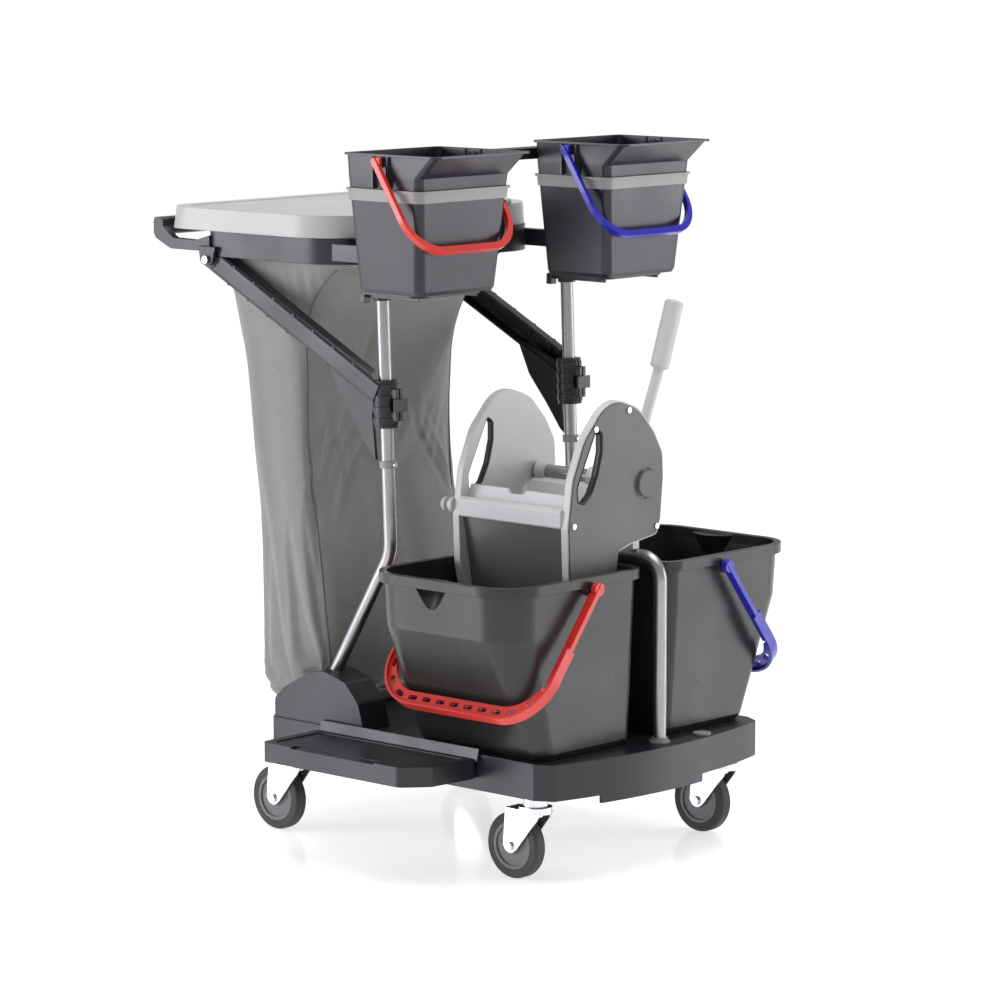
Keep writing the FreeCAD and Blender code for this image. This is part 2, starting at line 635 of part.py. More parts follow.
def bag_wires(inset):
    wires = []
    for i, (z, x0, x1, w, r0, r1) in enumerate(bag_sections):
        lift = inset if i == 0 else 0
        wires.append(rect_wire(x0 + inset, x1 - inset, inset - w, w - inset, z + lift,
                               [r0 - inset, r1 - inset, r1 - inset, r0 - inset]))
    mouth = ring_wall + seat_gap + inset
    for z in (ring_bottom_z + 14, ring_top_z - 2):
        wires.append(ring_wire(mouth, z))
    return wires


def build_bag():
    """Open-topped hanging bag: its true outer shape with a thin wall, and its zipper strip."""
    inner = bag_wires(bag_wall)
    above = ring_wire(ring_wall + seat_gap + bag_wall, ring_top_z + 5)
    bag = loft(bag_wires(0)).cut(loft(inner + [above]))
    add("bag", bag)
    strip = []
    for z, x0, _, _, _, _ in bag_sections[1:-3]:
        strip.append(V(x0 - seat_gap, -126, z))
    outer = [p + V(-zip_flap, 0, 0) for p in reversed(strip)]
    add("bag_zipper", prism([tuple(p) for p in strip + outer], 0, (0, 4, 0)))


# ---- small buckets and their carriers ---------------------------------------------------------
crossbar_z0 = 1040.0
crossbar_h = 17.0
small_bail_x = 66.0
small_bail_z = small_rim_z - 12.0
small_bail_reach = 158.0
small_bail_tilt = 33.0
carrier_t = 4.0


def build_crossbar():
    """Moulded bar across both upright tops; each small bucket's back rests against it."""
    z0, z1 = crossbar_z0, crossbar_z0 + crossbar_h
    x = upright_at(z0)
    y1 = upright_y + 22
    bar = prism([(x - 12, -y1, z0), (x - 12, y1, z0), (x + 20, y1, z0), (x + 20, -y1, z0)],
                6, (0, 0, crossbar_h))
    groove = box(x - 4, x + 12, -upright_y + 24, upright_y - 24, z0 - 1, z1 - 4)
    bar = bar.cut(groove)
    for side in sides.values():
        boss = along_upright(z0 - 26, z0 + 2, side, tube_d / 2 + 4)
        bar = bar.fuse(boss)
        bar = bar.cut(along_upright(z0 - 60, z0 + 1, side, tube_d / 2 + seat_gap))
    add("crossbar", bar.removeSplitter())


def build_carrier(side):
    """Clamped bracket with the shelf plate that a small bucket stands on."""
    top = small_bottom_z - seat_gap
    y = upright_y
    plate = prism([(-8, -y - 72, top - carrier_t), (114, -y - 72, top - carrier_t),
                   (114, -y + 72, top - carrier_t), (-8, -y + 72, top - carrier_t)],
                  [6, 20, 20, 6], (0, 0, carrier_t))
    tongue = box(-40, 4, -y - 20, -y + 20, top - carrier_t, top)
    for window_x in (28, 76):
        window = [(window_x - 16, -y - 50, 0), (window_x + 16, -y - 50, 0),
                  (window_x + 16, -y + 50, 0), (window_x - 16, -y + 50, 0)]
        plate = plate.cut(prism(window, 8, (0, 0, 2000)))
    sleeve = along_upright(top - 20, top + 12, -1, tube_d / 2 + 4)
    ribs = [box(-6, 106, -y + dy - 1.5, -y + dy + 1.5, top - 9, top - 1) for dy in (-62, 62)]
    hooks = [box(-8, 2, -y + dy - 6, -y + dy + 6, top - 17, top - 1) for dy in (-65, 65)]
    carrier = plate.fuse(ribs + hooks + [sleeve, tongue])
    carrier = carrier.cut(along_upright(780, 930, -1, tube_d / 2 + seat_gap))
    return on_side(carrier.removeSplitter(), side)


def small_sections(inset):
    """Outer sections from foot to rim; the last step throws the front wall out as a spout."""
    y = -upright_y
    foot_w = small_half_w - 16.5
    rows = (
        (small_bottom_z + inset, small_x0 + 9.5, small_x1 - 16, foot_w - 4, 10),
        (small_bottom_z + 6 + inset, small_x0 + 8, small_x1 - 13, foot_w, 13),
        (small_rim_z - 34, small_x0, small_x1, small_half_w - 2, 11),
        (small_rim_z, small_x0, small_x1 + spout_reach, small_half_w, 10),
    )
    wires = []
    for z, x0, x1, w, r in rows:
        wires.append(rect_wire(x0 + inset, x1 - inset, y - w + inset, y + w - inset, z, r - inset))
    return wires


def small_outline(z, grow):
    """Rounded rectangle round the small bucket's wall at a height."""
    low, high = small_bottom_z + 6, small_rim_z - 34
    share = (z - low) / (high - low)
    x0 = small_x0 + 8 * (1 - share) - grow
    x1 = small_x1 - 13 * (1 - share) + grow
    w = small_half_w - 16.5 + 14.5 * share + grow
    y = -upright_y
    return rect_wire(x0, x1, y - w, y + w, z, 11 + grow)


def u_outline(half_w, reach, r, x, y, z):
    """Closed outline of a U opening upward, in the YZ plane, for a bail at angle zero."""
    points = [V(x, y - half_w, z + 7), V(x, y - half_w, z - reach), V(x, y + half_w, z - reach),
              V(x, y + half_w, z + 7)]
    return rounded_wire(points, [0, r, r, 0])


def build_small_bucket(label, side):
    """Bucket with spout, bail recesses and rim, its slip-on band and its bail."""
    y = -upright_y
    bucket = loft(small_sections(0))
    inner = small_sections(small_wall)
    inner[0] = rect_wire(small_x0 + 12, small_x1 - 18.5, y - small_half_w + 23, y + small_half_w - 23,
                         small_bottom_z + small_wall, 8)
    top = rect_wire(small_x0 + small_wall, small_x1 + spout_reach + 2, y - small_half_w + small_wall,
                    y + small_half_w - small_wall, small_rim_z + 2, 8)
    bucket = bucket.cut(loft(inner + [top]))
    rim_out = rect_wire(small_x0 - 4, small_x1 + spout_reach + 4, y - small_half_w - 4,
                        y + small_half_w + 4, small_rim_z - 3, 13)
    rim_in = rect_wire(small_x0 + small_wall, small_x1 + spout_reach - 3,
                       y - small_half_w + small_wall, y + small_half_w - small_wall, 0, 8)
    rim = Part.Face(rim_out).extrude(V(0, 0, 3)).cut(Part.Face(rim_in).extrude(V(0, 0, 2000)))
    bucket = bucket.fuse(rim)
    for face in (-1, 1):
        wall_y = y + face * small_half_w
        socket = pipe_y(wall_y - face * 9, wall_y + face * 0.5, small_bail_x, small_bail_z, 8)
        bucket = bucket.fuse(socket)
        for dx in (-15, 15):
            cheek = box(small_bail_x + dx - 2, small_bail_x + dx + 2, wall_y - face * 4,
                        wall_y + face * 3.5, small_rim_z - 50, small_rim_z - 1)
            bucket = bucket.fuse(cheek)
        bucket = bucket.cut(pipe_y(wall_y - face * 6, wall_y + face * 8, small_bail_x, small_bail_z,
                                   3 + pin_gap))
    add("small_bucket_" + label, on_side(bucket.removeSplitter(), side))

    z0, z1 = small_rim_z - 70, small_rim_z - 52
    band = loft([small_outline(z0, 2.8), small_outline(z1, 2.8)])
    lip = loft([small_outline(z1 - 3, 6.0), small_outline(z1, 6.0)])
    hollow = loft([small_outline(z0 - 10, seat_gap), small_outline(z1 + 10, seat_gap)])
    add("bucket_band_" + label, on_side(band.fuse(lip).cut(hollow).removeSplitter(), side))

    half_out = small_half_w + 14.5
    outer = Part.Face(u_outline(half_out, small_bail_reach, 62, small_bail_x - 5, y, small_bail_z))
    inner_u = Part.Face(u_outline(half_out - 7, small_bail_reach - 10, 54, small_bail_x - 6, y,
                                  small_bail_z + 1))
    bail = outer.extrude(V(9, 0, 0)).cut(inner_u.extrude(V(12, 0, 0)))
    for face in (-1, 1):
        eye = pipe_y(y + face * (half_out - 9), y + face * (half_out - 2), small_bail_x,
                     small_bail_z, 8)
        pin = pipe_y(y + face * (small_half_w - 5), y + face * (half_out - 4), small_bail_x,
                     small_bail_z, 3)
        bail = bail.fuse([eye, pin])
    bail.rotate(V(small_bail_x, 0, small_bail_z), V(0, 1, 0), -small_bail_tilt)
    add("small_bail_" + label, on_side(bail.removeSplitter(), side))


# ---- big buckets ------------------------------------------------------------------------------
big_bail_y = -150.0
big_bail_z = big_rim_z - 17.0
big_bail_reach = 236.0
big_bail_tilt = 38.0
big_mid_x = (big_x0 + big_x1) / 2


def big_sections(inset):
    """Outer sections from foot to rim: steep walls with the outer one flaring to the waist."""
    body_x0, body_x1 = big_x0 + rim_lip, big_x1 - rim_lip
    body_in, body_out = big_inner_y + rim_lip, big_outer_y - rim_lip
    rows = (
        (big_bottom_z + inset, body_x0 + 14, body_x1 - 19, body_in + 6, body_out - 97, 14, 20),
        (big_bottom_z + 10 + inset, body_x0 + 8, body_x1 - 13, body_in + 2, body_out - 88, 20, 26),
        (big_waist_z, body_x0 + 2, body_x1 - 3, body_in + 1, body_out - 4, 24, 56),
        (big_rim_z - rim_h, body_x0, body_x1, body_in, body_out, 24, 58),
        (big_rim_z, body_x0, body_x1, body_in, body_out, 24, 58),
    )
    wires = []
    for z, x0, x1, y_in, y_out, r_in, r_out in rows:
        wires.append(rect_wire(x0 + inset, x1 - inset, inset - y_out, -y_in - inset, z,
                               [r_out - inset, r_out - inset, r_in - inset, r_in - inset]))
    return wires


def build_big_bucket(label, side):
    """Bucket with a boxed rim, pouring flute in the outer wall and ears for the bail."""
    body_out = big_outer_y - rim_lip
    bucket = loft(big_sections(0))
    flute_r = 40
    flute_top = Part.makeCone(4, flute_r, 70, V(big_mid_x - 14, -body_out - 16, big_rim_z - 74))
    inner = big_sections(big_wall)
    above = [rect_wire(big_x0 + rim_lip + big_wall, big_x1 - rim_lip - big_wall,
                       big_wall - body_out, -big_inner_y - rim_lip - big_wall, big_rim_z + 3,
                       [55, 55, 21, 21])]
    hollow = loft(inner + above)
    dent = flute_top.common(box(0, 400, -body_out - 60, -body_out + 60, 0, 1000))
    bucket = bucket.cut(hollow)
    rim = Part.Face(rect_wire(big_x0, big_x1, -big_outer_y, -big_inner_y, big_rim_z - rim_h,
                              [66, 66, 32, 32])).extrude(V(0, 0, rim_h))
    rim = rim.cut(Part.Face(rect_wire(big_x0 + 3, big_x1 - 3, 3 - big_outer_y, -big_inner_y - 3,
                                      big_rim_z - rim_h - 1, [63, 63, 29, 29])).extrude(V(0, 0, rim_h - 2)))
    rim = rim.cut(hollow)
    dent_wall = Part.makeCone(4 + big_wall, flute_r + big_wall, 70,
                              V(big_mid_x - 14, -body_out - 16, big_rim_z - 74))
    dent_wall = dent_wall.common(hollow)
    bucket = bucket.fuse([rim, dent_wall]).cut(dent.common(box(0, 400, -400, 0, 0, big_rim_z - rim_h)))
    for face, x in ((-1, big_x0), (1, big_x1)):
        ear = pipe_x(min(x, x - face * 8), max(x, x - face * 8), big_bail_y, big_bail_z, 12)
        bracket = box(min(x, x - face * 8), max(x, x - face * 8), big_bail_y - 12, big_bail_y + 12,
                      big_bail_z, big_rim_z - 2)
        bucket = bucket.fuse([ear, bracket])
        bucket = bucket.cut(pipe_x(min(x - face * 6, x + face * 9), max(x - face * 6, x + face * 9),
                                   big_bail_y, big_bail_z, 4 + pin_gap))
    add("big_bucket_" + label, on_side(bucket.removeSplitter(), side))

    half_len = (big_x1 - big_x0) / 2 + 15
    grip_w = 24.0
    arm_w = 14.0
    z_top = big_bail_z + 9
    z_foot = big_bail_z - big_bail_reach

    def u_face(half, foot, r, y):
        points = [V(big_mid_x - half, y, z_top), V(big_mid_x - half, y, foot),
                  V(big_mid_x + half, y, foot), V(big_mid_x + half, y, z_top)]
        return Part.Face(rounded_wire(points, [0, r, r, 0]))

    thick = 8.0
    outer = u_face(half_len, z_foot, 78, big_bail_y - thick / 2).extrude(V(0, thick, 0))
    inner_u = u_face(half_len - arm_w, z_foot + grip_w, 62, big_bail_y - 20).extrude(V(0, 40, 0))
    bail = outer.cut(inner_u)
    grip_wide = u_face(half_len, z_foot, 78, big_bail_y - 9).extrude(V(0, 18, 0))
    grip_in = u_face(half_len - 4, z_foot + 4, 74, big_bail_y - 20).extrude(V(0, 40, 0))
    skirt = grip_wide.cut(grip_in).common(box(-100, 500, -400, 0, 0, big_bail_z - 105))
    bail = bail.fuse(skirt)
    slots = bail_slots(half_len, z_foot, grip_w)
    bail = bail.cut(Part.makeCompound(slots))
    for face in (-1, 1):
        arm_inner = big_mid_x + face * (half_len - arm_w)
        end = big_mid_x + face * (half_len - 1)
        keep = box(min(arm_inner, end), max(arm_inner, end), big_bail_y - 9, big_bail_y + 9,
                   big_bail_z - 9, z_top)
        bail = bail.cut(keep)
        eye = pipe_x(min(end, end - face * 9), max(end, end - face * 9), big_bail_y, big_bail_z, 10)
        tang = box(min(end, end - face * 9), max(end, end - face * 9), big_bail_y - 4, big_bail_y + 4,
                   big_bail_z - 20, big_bail_z)
        wall = big_mid_x + face * ((big_x1 - big_x0) / 2 - 5)
        pin = pipe_x(min(wall, end), max(wall, end), big_bail_y, big_bail_z, 4)
        bail = bail.fuse([eye, tang, pin])
        slim = big_mid_x + face * (half_len - arm_w - 1)
        inner_edge = big_mid_x + face * (half_len - 9.5)
        trim = box(min(slim, inner_edge), max(slim, inner_edge), big_bail_y - 20, big_bail_y + 20,
                   big_bail_z - 60, z_top)
        clear = big_x1 + side_gap if face > 0 else big_x0 - side_gap
        body = trim.common(box(-100 if face < 0 else big_x0, clear if face > 0 else 500, -400, 0, 0, 1000))
        bail = bail.cut(body.cut(pin))
    bail.rotate(V(0, big_bail_y, big_bail_z), V(1, 0, 0), -big_bail_tilt)
    add("big_bail_" + label, on_side(bail.removeSplitter(), side))


def bail_slots(half_len, z_foot, grip_w):
    """Oblong windows along the flat grip and up its bends."""
    slots = []
    length, width = 17.0, 8.0

    def slot(x, z, angle):
        s = box(x - length / 2, x + length / 2, big_bail_y - 20, big_bail_y + 20, z - width / 2,
                z + width / 2)
        s = s.makeFillet(3.9, [e for e in s.Edges if abs(e.Length - 40) < 0.01])
        s.rotate(V(x, 0, z), V(0, 1, 0), angle)
        return s

    mid_z = z_foot + grip_w / 2 + 2
    for k in range(-3, 4):
        slots.append(slot(big_mid_x + k * 28, mid_z, 0))
    bend = 66.0
    for face in (-1, 1):
        centre_x = big_mid_x + face * (half_len - 78)
        centre_z = z_foot + 78
        for turn in (24, 52, 80):
            a = math.radians(turn)
            x = centre_x + face * bend * math.sin(a)
            z = centre_z - bend * math.cos(a)
            slots.append(slot(x, z, -face * turn))
    return slots


# ---- wringer and its bridge tube --------------------------------------------------------------
bridge_feet = ((bridge_front_x, bridge_y), (bridge_rear_x, bridge_y))
cover_t = 3.0
plate_profile = (
    # y, z, corner radius: seen along X, foot first and clockwise
    (-140, 378, 8), (-155, 450, 0), (-158, 520, 40), (-148, 592, 60), (-122, 650, 60), (-82, 692, 60),
    (-50, 706, 50), (2, 688, 60), (38, 650, 50), (58, 616, 30), (60, 580, 30), (54, 516, 10),
    (46, 492, 10), (-14, 483, 6), (-44, 474, 10), (-56, 378, 8),
)
slot_profile = ((-94, 666, 5), (-80, 656, 8), (-80, 628, 20), (-90, 592, 30), (-104, 566, 14),
                (-120, 553, 8), (-136, 558, 7), (-138, 580, 20), (-122, 612, 30))
cover_screws = ((-22, 686), (-97, 664), (-145, 524), (43, 505))
press_reach_z = 470.0


def plate_shape(profile, x, grow=0.0, thickness=10.0):
    """Side-plate outline as a plate; grow shrinks or enlarges it about its middle."""
    mid_y, mid_z = -50, 560
    points = []
    for y, z, _ in profile:
        span = math.hypot(y - mid_y, z - mid_z)
        scale = 1 + grow / span
        points.append((x, mid_y + (y - mid_y) * scale, mid_z + (z - mid_z) * scale))
    return prism(points, [r for _, _, r in profile], (thickness, 0, 0))


def build_wringer():
    x0, x1 = wringer_x0, wringer_x1
    t = wringer_plate_t
    plates = []
    for px in (x0, x1 - t):
        plate = plate_shape(plate_profile, px, 0, t)
        plate = plate.cut(plate_shape(slot_profile, px - 1, 0, t + 2))
        saddle = box(px, px + t, bridge_y - saddle_in, bridge_y + saddle_out, bridge_top_z + seat_gap,
                     saddle_top_z)
        plate = plate.fuse(saddle)
        if px > x0:
            plate = plate.cut(plate_shape(plate_profile, x1 - 1.5, -3, 5))
            for y, z in cover_screws:
                plate = plate.cut(pipe_x(x1 - 9, x1 + 1, y, z, 2.5 + pin_gap))
        plate = plate.cut(pipe_x(px - 1, px + t + 1, shaft_y, shaft_z, shaft_d / 2 + pin_gap))
        plates.append(plate)
    add("wringer_plate_rear", plates[0])
    add("wringer_plate_front", plates[1])

    cover = plate_shape(plate_profile, x1 - 1.5 + seat_gap, -3.4, cover_t)
    cover = cover.cut(plate_shape(slot_profile, x1 - 5, 1.5, 12))
    cover = cover.cut(pipe_x(x1 - 5, x1 + 9, shaft_y, shaft_z, 23))
    for y, z in cover_screws:
        cover = cover.cut(pipe_x(x1 - 9, x1 + 9, y, z, 2.5 + pin_gap))
    add("wringer_cover", cover)
    screws = []
    for y, z in cover_screws:
        face = x1 - 1.5 + seat_gap + cover_t
        screws.append(pipe_x(x1 - 8, face + seat_gap, y, z, 2.5).fuse(
            pipe_x(face + seat_gap, face + 2, y, z, 4.5)))
    add("cover_screws", *screws)

    a, b = x0 + t, x1 - t
    rail = prism([(a, -160, 520), (a, -160, 546), (a, -152, 550), (a, -141, 546), (a, -141, 520)],
                 [3, 3, 3, 3, 3], (b - a, 0, 0))
    add("front_rail", rail)
    panel = prism([(a, -148, 519.5), (a, -138, 519.5), (a, -118, 396), (a, -40, 384),
                   (a, -40, 380), (a, -121, 392), (a, -126, 396)], 0, (b - a, 0, 0))
    for row in range(4):
        for col in range(8):
            hx = a + 24 + col * 21
            hy = -108 + row * 18
            panel = panel.cut(pipe_z(370, 402, hx, hy, 4))
    add("wringer_basket", panel)
    sieve = prism([(a + seat_gap, -140.7, 540), (a + seat_gap, -131, 566), (a + seat_gap, -127, 566),
                   (a + seat_gap, -136, 524), (a + seat_gap, -139, 524)], 0,
                  (b - a - 2 * seat_gap, 0, 0))
    notch = prism([(a + 72, -150, 570), (a + 80, -150, 559), (a + 108, -150, 559),
                   (a + 116, -150, 570)], [0, 6, 6, 0], (0, 40, 0))
    add("sieve_plate", sieve.cut(notch))
    knob = pipe_x(x0 - 22, x0 - 16, -151, 535, 11)
    knob = knob.fuse([pipe_x(x0 - 16, x0 - 8, -151, 535, 6), pipe_x(x0 - 8, x0 - seat_gap, -151, 535, 12)])
    add("rail_knob", knob)

    shaft = pipe_x(x0 - 6, x1 + 1, shaft_y, shaft_z, shaft_d / 2)
    add("lever_shaft", shaft)
    cap = pipe_x(x1 + 1 + seat_gap, x1 + 8, shaft_y, shaft_z, 21)
    cap = cap.makeFillet(2.0, [e for e in cap.Edges if abs(e.Length - 2 * math.pi * 21) < 1])
    add("shaft_cap", cap)
    lever_x = x1 - t - 20
    lever_points = [V(lever_x, shaft_y, shaft_z), V(lever_x, 50, 652), V(lever_x, 84, 730),
                    V(lever_x, 120, 830)]
    lever = sweep(lever_points, 60, 8)
    hub = pipe_x(lever_x - 14, lever_x + 14, shaft_y, shaft_z, shaft_d / 2 + 7)
    lever = lever.fuse(hub).cut(pipe_x(a, b, shaft_y, shaft_z, shaft_d / 2 + pin_gap))
    add("lever_arm", lever)
    run = (lever_points[3] - lever_points[2]).normalize()
    start = lever_points[2] + run * 8
    grip = Part.makeCylinder(grip_r, 106, start, run)
    grip = grip.makeFillet(5, [e for e in grip.Edges if abs(e.Length - 2 * math.pi * grip_r) < 1])
    grip = grip.cut(Part.makeCylinder(8 + pin_gap, 101, start - run * 2, run))
    add("lever_grip", grip)
    paddle = prism([(a + 8, 10, 566), (a + 8, -6, 560), (a + 8, -42, 506), (a + 8, -52, press_reach_z),
                    (a + 8, -46, press_reach_z), (a + 8, -36, 506)], 0, (b - a - 16 - 40, 0, 0))
    eyes = [pipe_x(a + 8 + dx, a + 26 + dx, shaft_y, shaft_z, shaft_d / 2 + 5) for dx in (0, 105)]
    paddle = paddle.fuse(eyes).cut(pipe_x(a, b, shaft_y, shaft_z, shaft_d / 2 + pin_gap))
    add("press_plate", paddle.removeSplitter())


def build_bridge():
    """Inverted U tube that carries the wringer, with the flange at each foot."""
    (fx, fy), (rx, ry) = bridge_feet
    foot = base_top_z - bridge_sunk
    points = [V(fx, fy, foot), V(fx, fy, bridge_top_z - tube_d / 2), V(rx, ry, bridge_top_z - tube_d / 2),
              V(rx, ry, foot)]
    add("bridge_tube", tube(points, bridge_bend, tube_d / 2, tube_wall))
    flanges = []
    for x, y in bridge_feet:
        flange = pipe_z(base_top_z, base_top_z + 3, x, y, flange_r).fuse(
            pipe_z(base_top_z, base_top_z + 8, x, y, collar_r))
        flanges.append(flange.cut(pipe_z(base_top_z - 5, base_top_z + 20, x, y, tube_d / 2 + pin_gap)))
    add("bridge_flanges", *flanges)


deck_caps = ((350.0, 93.0),)


def main():
    os.makedirs("parts", exist_ok=True)
    swivels = []
    stems = []
    for name, (x, y) in caster_places.items():
        swivel_x, stem = caster(name, x, y)
        swivels.append((swivel_x, y))
        stems.append(stem)
    add("caster_stems", *stems)
    build_base(swivels)
    build_shelf()
    pins, carriers = [], []
    for label, side in sides.items():
        build_upright(label, side)
        pins.append(build_strut(label, side))
        build_clamp(label, side)
        carriers.append(build_carrier(side))
        build_small_bucket(label, side)
        build_big_bucket(label, side)
    add("strut_pins", *pins)
    add("bucket_carriers", *carriers)
    build_stop_rings()
    build_crossbar()
    build_bag_frame()
    build_lid()
    build_bag()
    build_wringer()
    build_bridge()
    add("deck_caps", *[pipe_z(base_top_z, base_top_z + 3, x, y, 14) for x, y in deck_caps])
    whole = Part.makeCompound(list(parts.values())).BoundBox
    centre = V(-(whole.XMin + whole.XMax) / 2, -(whole.YMin + whole.YMax) / 2, 0)
    for name, shape in parts.items():
        placed = shape.copy()
        placed.translate(centre)
        placed.exportStep("parts/" + name + ".step")


main()
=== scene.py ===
import math

import bmesh
import bpy
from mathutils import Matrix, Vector, noise


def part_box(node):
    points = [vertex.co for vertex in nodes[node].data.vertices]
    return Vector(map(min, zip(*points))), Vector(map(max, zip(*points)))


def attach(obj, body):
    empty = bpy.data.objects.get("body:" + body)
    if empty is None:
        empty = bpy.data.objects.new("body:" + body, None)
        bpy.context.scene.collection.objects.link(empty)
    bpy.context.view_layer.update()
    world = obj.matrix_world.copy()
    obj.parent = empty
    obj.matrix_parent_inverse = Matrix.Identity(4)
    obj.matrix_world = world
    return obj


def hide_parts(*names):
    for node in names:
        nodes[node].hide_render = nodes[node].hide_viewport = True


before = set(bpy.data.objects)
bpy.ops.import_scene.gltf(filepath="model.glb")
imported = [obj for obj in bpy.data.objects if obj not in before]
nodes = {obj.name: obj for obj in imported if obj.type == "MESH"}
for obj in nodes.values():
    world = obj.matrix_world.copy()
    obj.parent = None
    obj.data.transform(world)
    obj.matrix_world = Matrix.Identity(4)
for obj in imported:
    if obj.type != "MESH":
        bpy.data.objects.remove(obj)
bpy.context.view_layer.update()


# ---- materials --------------------------------------------------------------------------------
class Shader:
    """A Principled material with a few helpers for its detail nodes."""

    def __init__(self, name, colour, rough, metallic=0.0, **sockets):
        self.mat = bpy.data.materials.new(name)
        self.mat.use_nodes = True
        self.tree = self.mat.node_tree
        self.bsdf = self.tree.nodes["Principled BSDF"]
        self.colour = colour
        self.rough = rough
        self.bsdf.inputs["Base Color"].default_value = (*colour, 1)
        self.bsdf.inputs["Roughness"].default_value = rough
        self.bsdf.inputs["Metallic"].default_value = metallic
        for key, value in sockets.items():
            self.bsdf.inputs[key.replace("_", " ")].default_value = value
        self.coords = self.node("ShaderNodeTexCoord").outputs["Object"]
        self.normal = None

    def node(self, kind, **settings):
        made = self.tree.nodes.new(kind)
        for key, value in settings.items():
            setattr(made, key, value)
        return made

    def link(self, a, b):
        self.tree.links.new(a, b)

    def scaled(self, scale):
        mapping = self.node("ShaderNodeMapping")
        mapping.inputs["Scale"].default_value = scale
        self.link(self.coords, mapping.inputs["Vector"])
        return mapping.outputs["Vector"]

    def noise(self, scale, detail=2.0, rough=0.5, stretch=(1, 1, 1)):
        made = self.node("ShaderNodeTexNoise")
        made.inputs["Scale"].default_value = scale
        made.inputs["Detail"].default_value = detail
        made.inputs["Roughness"].default_value = rough
        self.link(self.scaled(stretch), made.inputs["Vector"])
        return made.outputs["Fac"]

    def remap(self, value, lo, hi):
        made = self.node("ShaderNodeMapRange")
        made.inputs["From Min"].default_value = 0.3
        made.inputs["From Max"].default_value = 0.7
        made.inputs["To Min"].default_value = lo
        made.inputs["To Max"].default_value = hi
        self.link(value, made.inputs["Value"])
        return made.outputs["Result"]

    def vary_rough(self, value, lo, hi):
        self.link(self.remap(value, lo, hi), self.bsdf.inputs["Roughness"])

    def mix(self, value, other, share):
        """Blends the base colour towards another one where the value is high."""
        made = self.node("ShaderNodeMix", data_type="RGBA")
        made.inputs[6].default_value = (*self.colour, 1)
        made.inputs[7].default_value = (*other, 1)
        self.link(self.remap(value, 0.0, share), made.inputs["Factor"])
        self.link(made.outputs[2], self.bsdf.inputs["Base Color"])

    def soften(self, radius):
        """Catches light along the edges as a moulded or rolled edge does."""
        made = self.node("ShaderNodeBevel", samples=4)
        made.inputs["Radius"].default_value = radius
        self.normal = made.outputs["Normal"]
        self.link(self.normal, self.bsdf.inputs["Normal"])

    def bump(self, value, depth, strength=1.0):
        made = self.node("ShaderNodeBump")
        made.inputs["Strength"].default_value = strength
        made.inputs["Distance"].default_value = depth
        self.link(value, made.inputs["Height"])
        if self.normal is not None:
            self.link(self.normal, made.inputs["Normal"])
        self.normal = made.outputs["Normal"]
        self.link(self.normal, self.bsdf.inputs["Normal"])


def plastic(name, colour, rough, grain=0.00006, grain_scale=900, edge=0.0012, tint=None, **sockets):
    """Moulded plastic: fine texture, faint flow marks and softened edges."""
    made = Shader(name, colour, rough, **sockets)
    made.soften(edge)
    made.bump(made.noise(grain_scale, 3), grain)
    made.vary_rough(made.noise(9, 3), rough - 0.05, rough + 0.06)
    other = tint or tuple(min(1.0, c * 1.35 + 0.004) for c in colour)
    made.mix(made.noise(5, 4, 0.6), other, 0.7)
    return made.mat


def metal(name, colour, rough, streak=(1, 1, 1), streak_scale=500, depth=0.00002, edge=0.0006):
    made = Shader(name, colour, rough, 1.0)
    made.soften(edge)
    made.bump(made.noise(streak_scale, 2, 0.5, streak), depth)
    made.vary_rough(made.noise(30, 4), rough - 0.06, rough + 0.09)
    made.mix(made.noise(12, 4), tuple(c * 0.8 for c in colour), 0.6)
    return made.mat


def zinc_plate():
    """Bright zinc with the faint cell pattern of the plating."""
    made = Shader("zinc", (0.72, 0.73, 0.75), 0.24, 1.0)
    made.soften(0.0008)
    cells = made.node("ShaderNodeTexVoronoi")
    cells.inputs["Scale"].default_value = 160
    made.link(made.coords, cells.inputs["Vector"])
    made.mix(cells.outputs["Color"], (0.62, 0.63, 0.66), 0.3)
    made.vary_rough(made.noise(60, 3), 0.18, 0.32)
    made.bump(made.noise(700, 2), 0.00001)
    return made.mat


def woven(name, colour, other, rib=0.0026):
    """Coated cloth: fine horizontal ribs crossed by a finer warp, with faint creasing."""
    made = Shader(name, colour, 0.72, Sheen_Weight=0.25, Sheen_Roughness=0.5)
    ribs = made.node("ShaderNodeTexWave", wave_type="BANDS", bands_direction="Z")
    ribs.inputs["Scale"].default_value = 0.314 / rib
    ribs.inputs["Distortion"].default_value = 0.35
    ribs.inputs["Detail"].default_value = 1.0
    made.link(made.coords, ribs.inputs["Vector"])
    threads = made.noise(420, 2, 0.5, (1, 1, 5))
    made.bump(ribs.outputs["Fac"], 0.00045, 0.9)
    made.bump(threads, 0.00022, 0.8)
    made.bump(made.noise(26, 5, 0.6, (1, 1, 0.6)), 0.0022, 0.35)
    made.mix(ribs.outputs["Fac"], other, 0.55)
    made.vary_rough(made.noise(14, 3), 0.64, 0.8)
    return made.mat


def rubber():
    made = Shader("tyre_rubber", (0.030, 0.030, 0.032), 0.6)
    made.soften(0.001)
    made.bump(made.noise(1100, 3), 0.00009)
    made.mix(made.noise(45, 5), (0.045, 0.045, 0.044), 0.8)
    made.vary_rough(made.noise(20, 3), 0.52, 0.72)
    return made.mat


def clear_band():
    made = Shader("band_clear", (0.36, 0.36, 0.35), 0.32, Transmission_Weight=0.3, IOR=1.46)
    made.soften(0.001)
    made.bump(made.noise(500, 2), 0.00005)
    made.mix(made.noise(12, 3), (0.42, 0.42, 0.41), 0.7)
    return made.mat


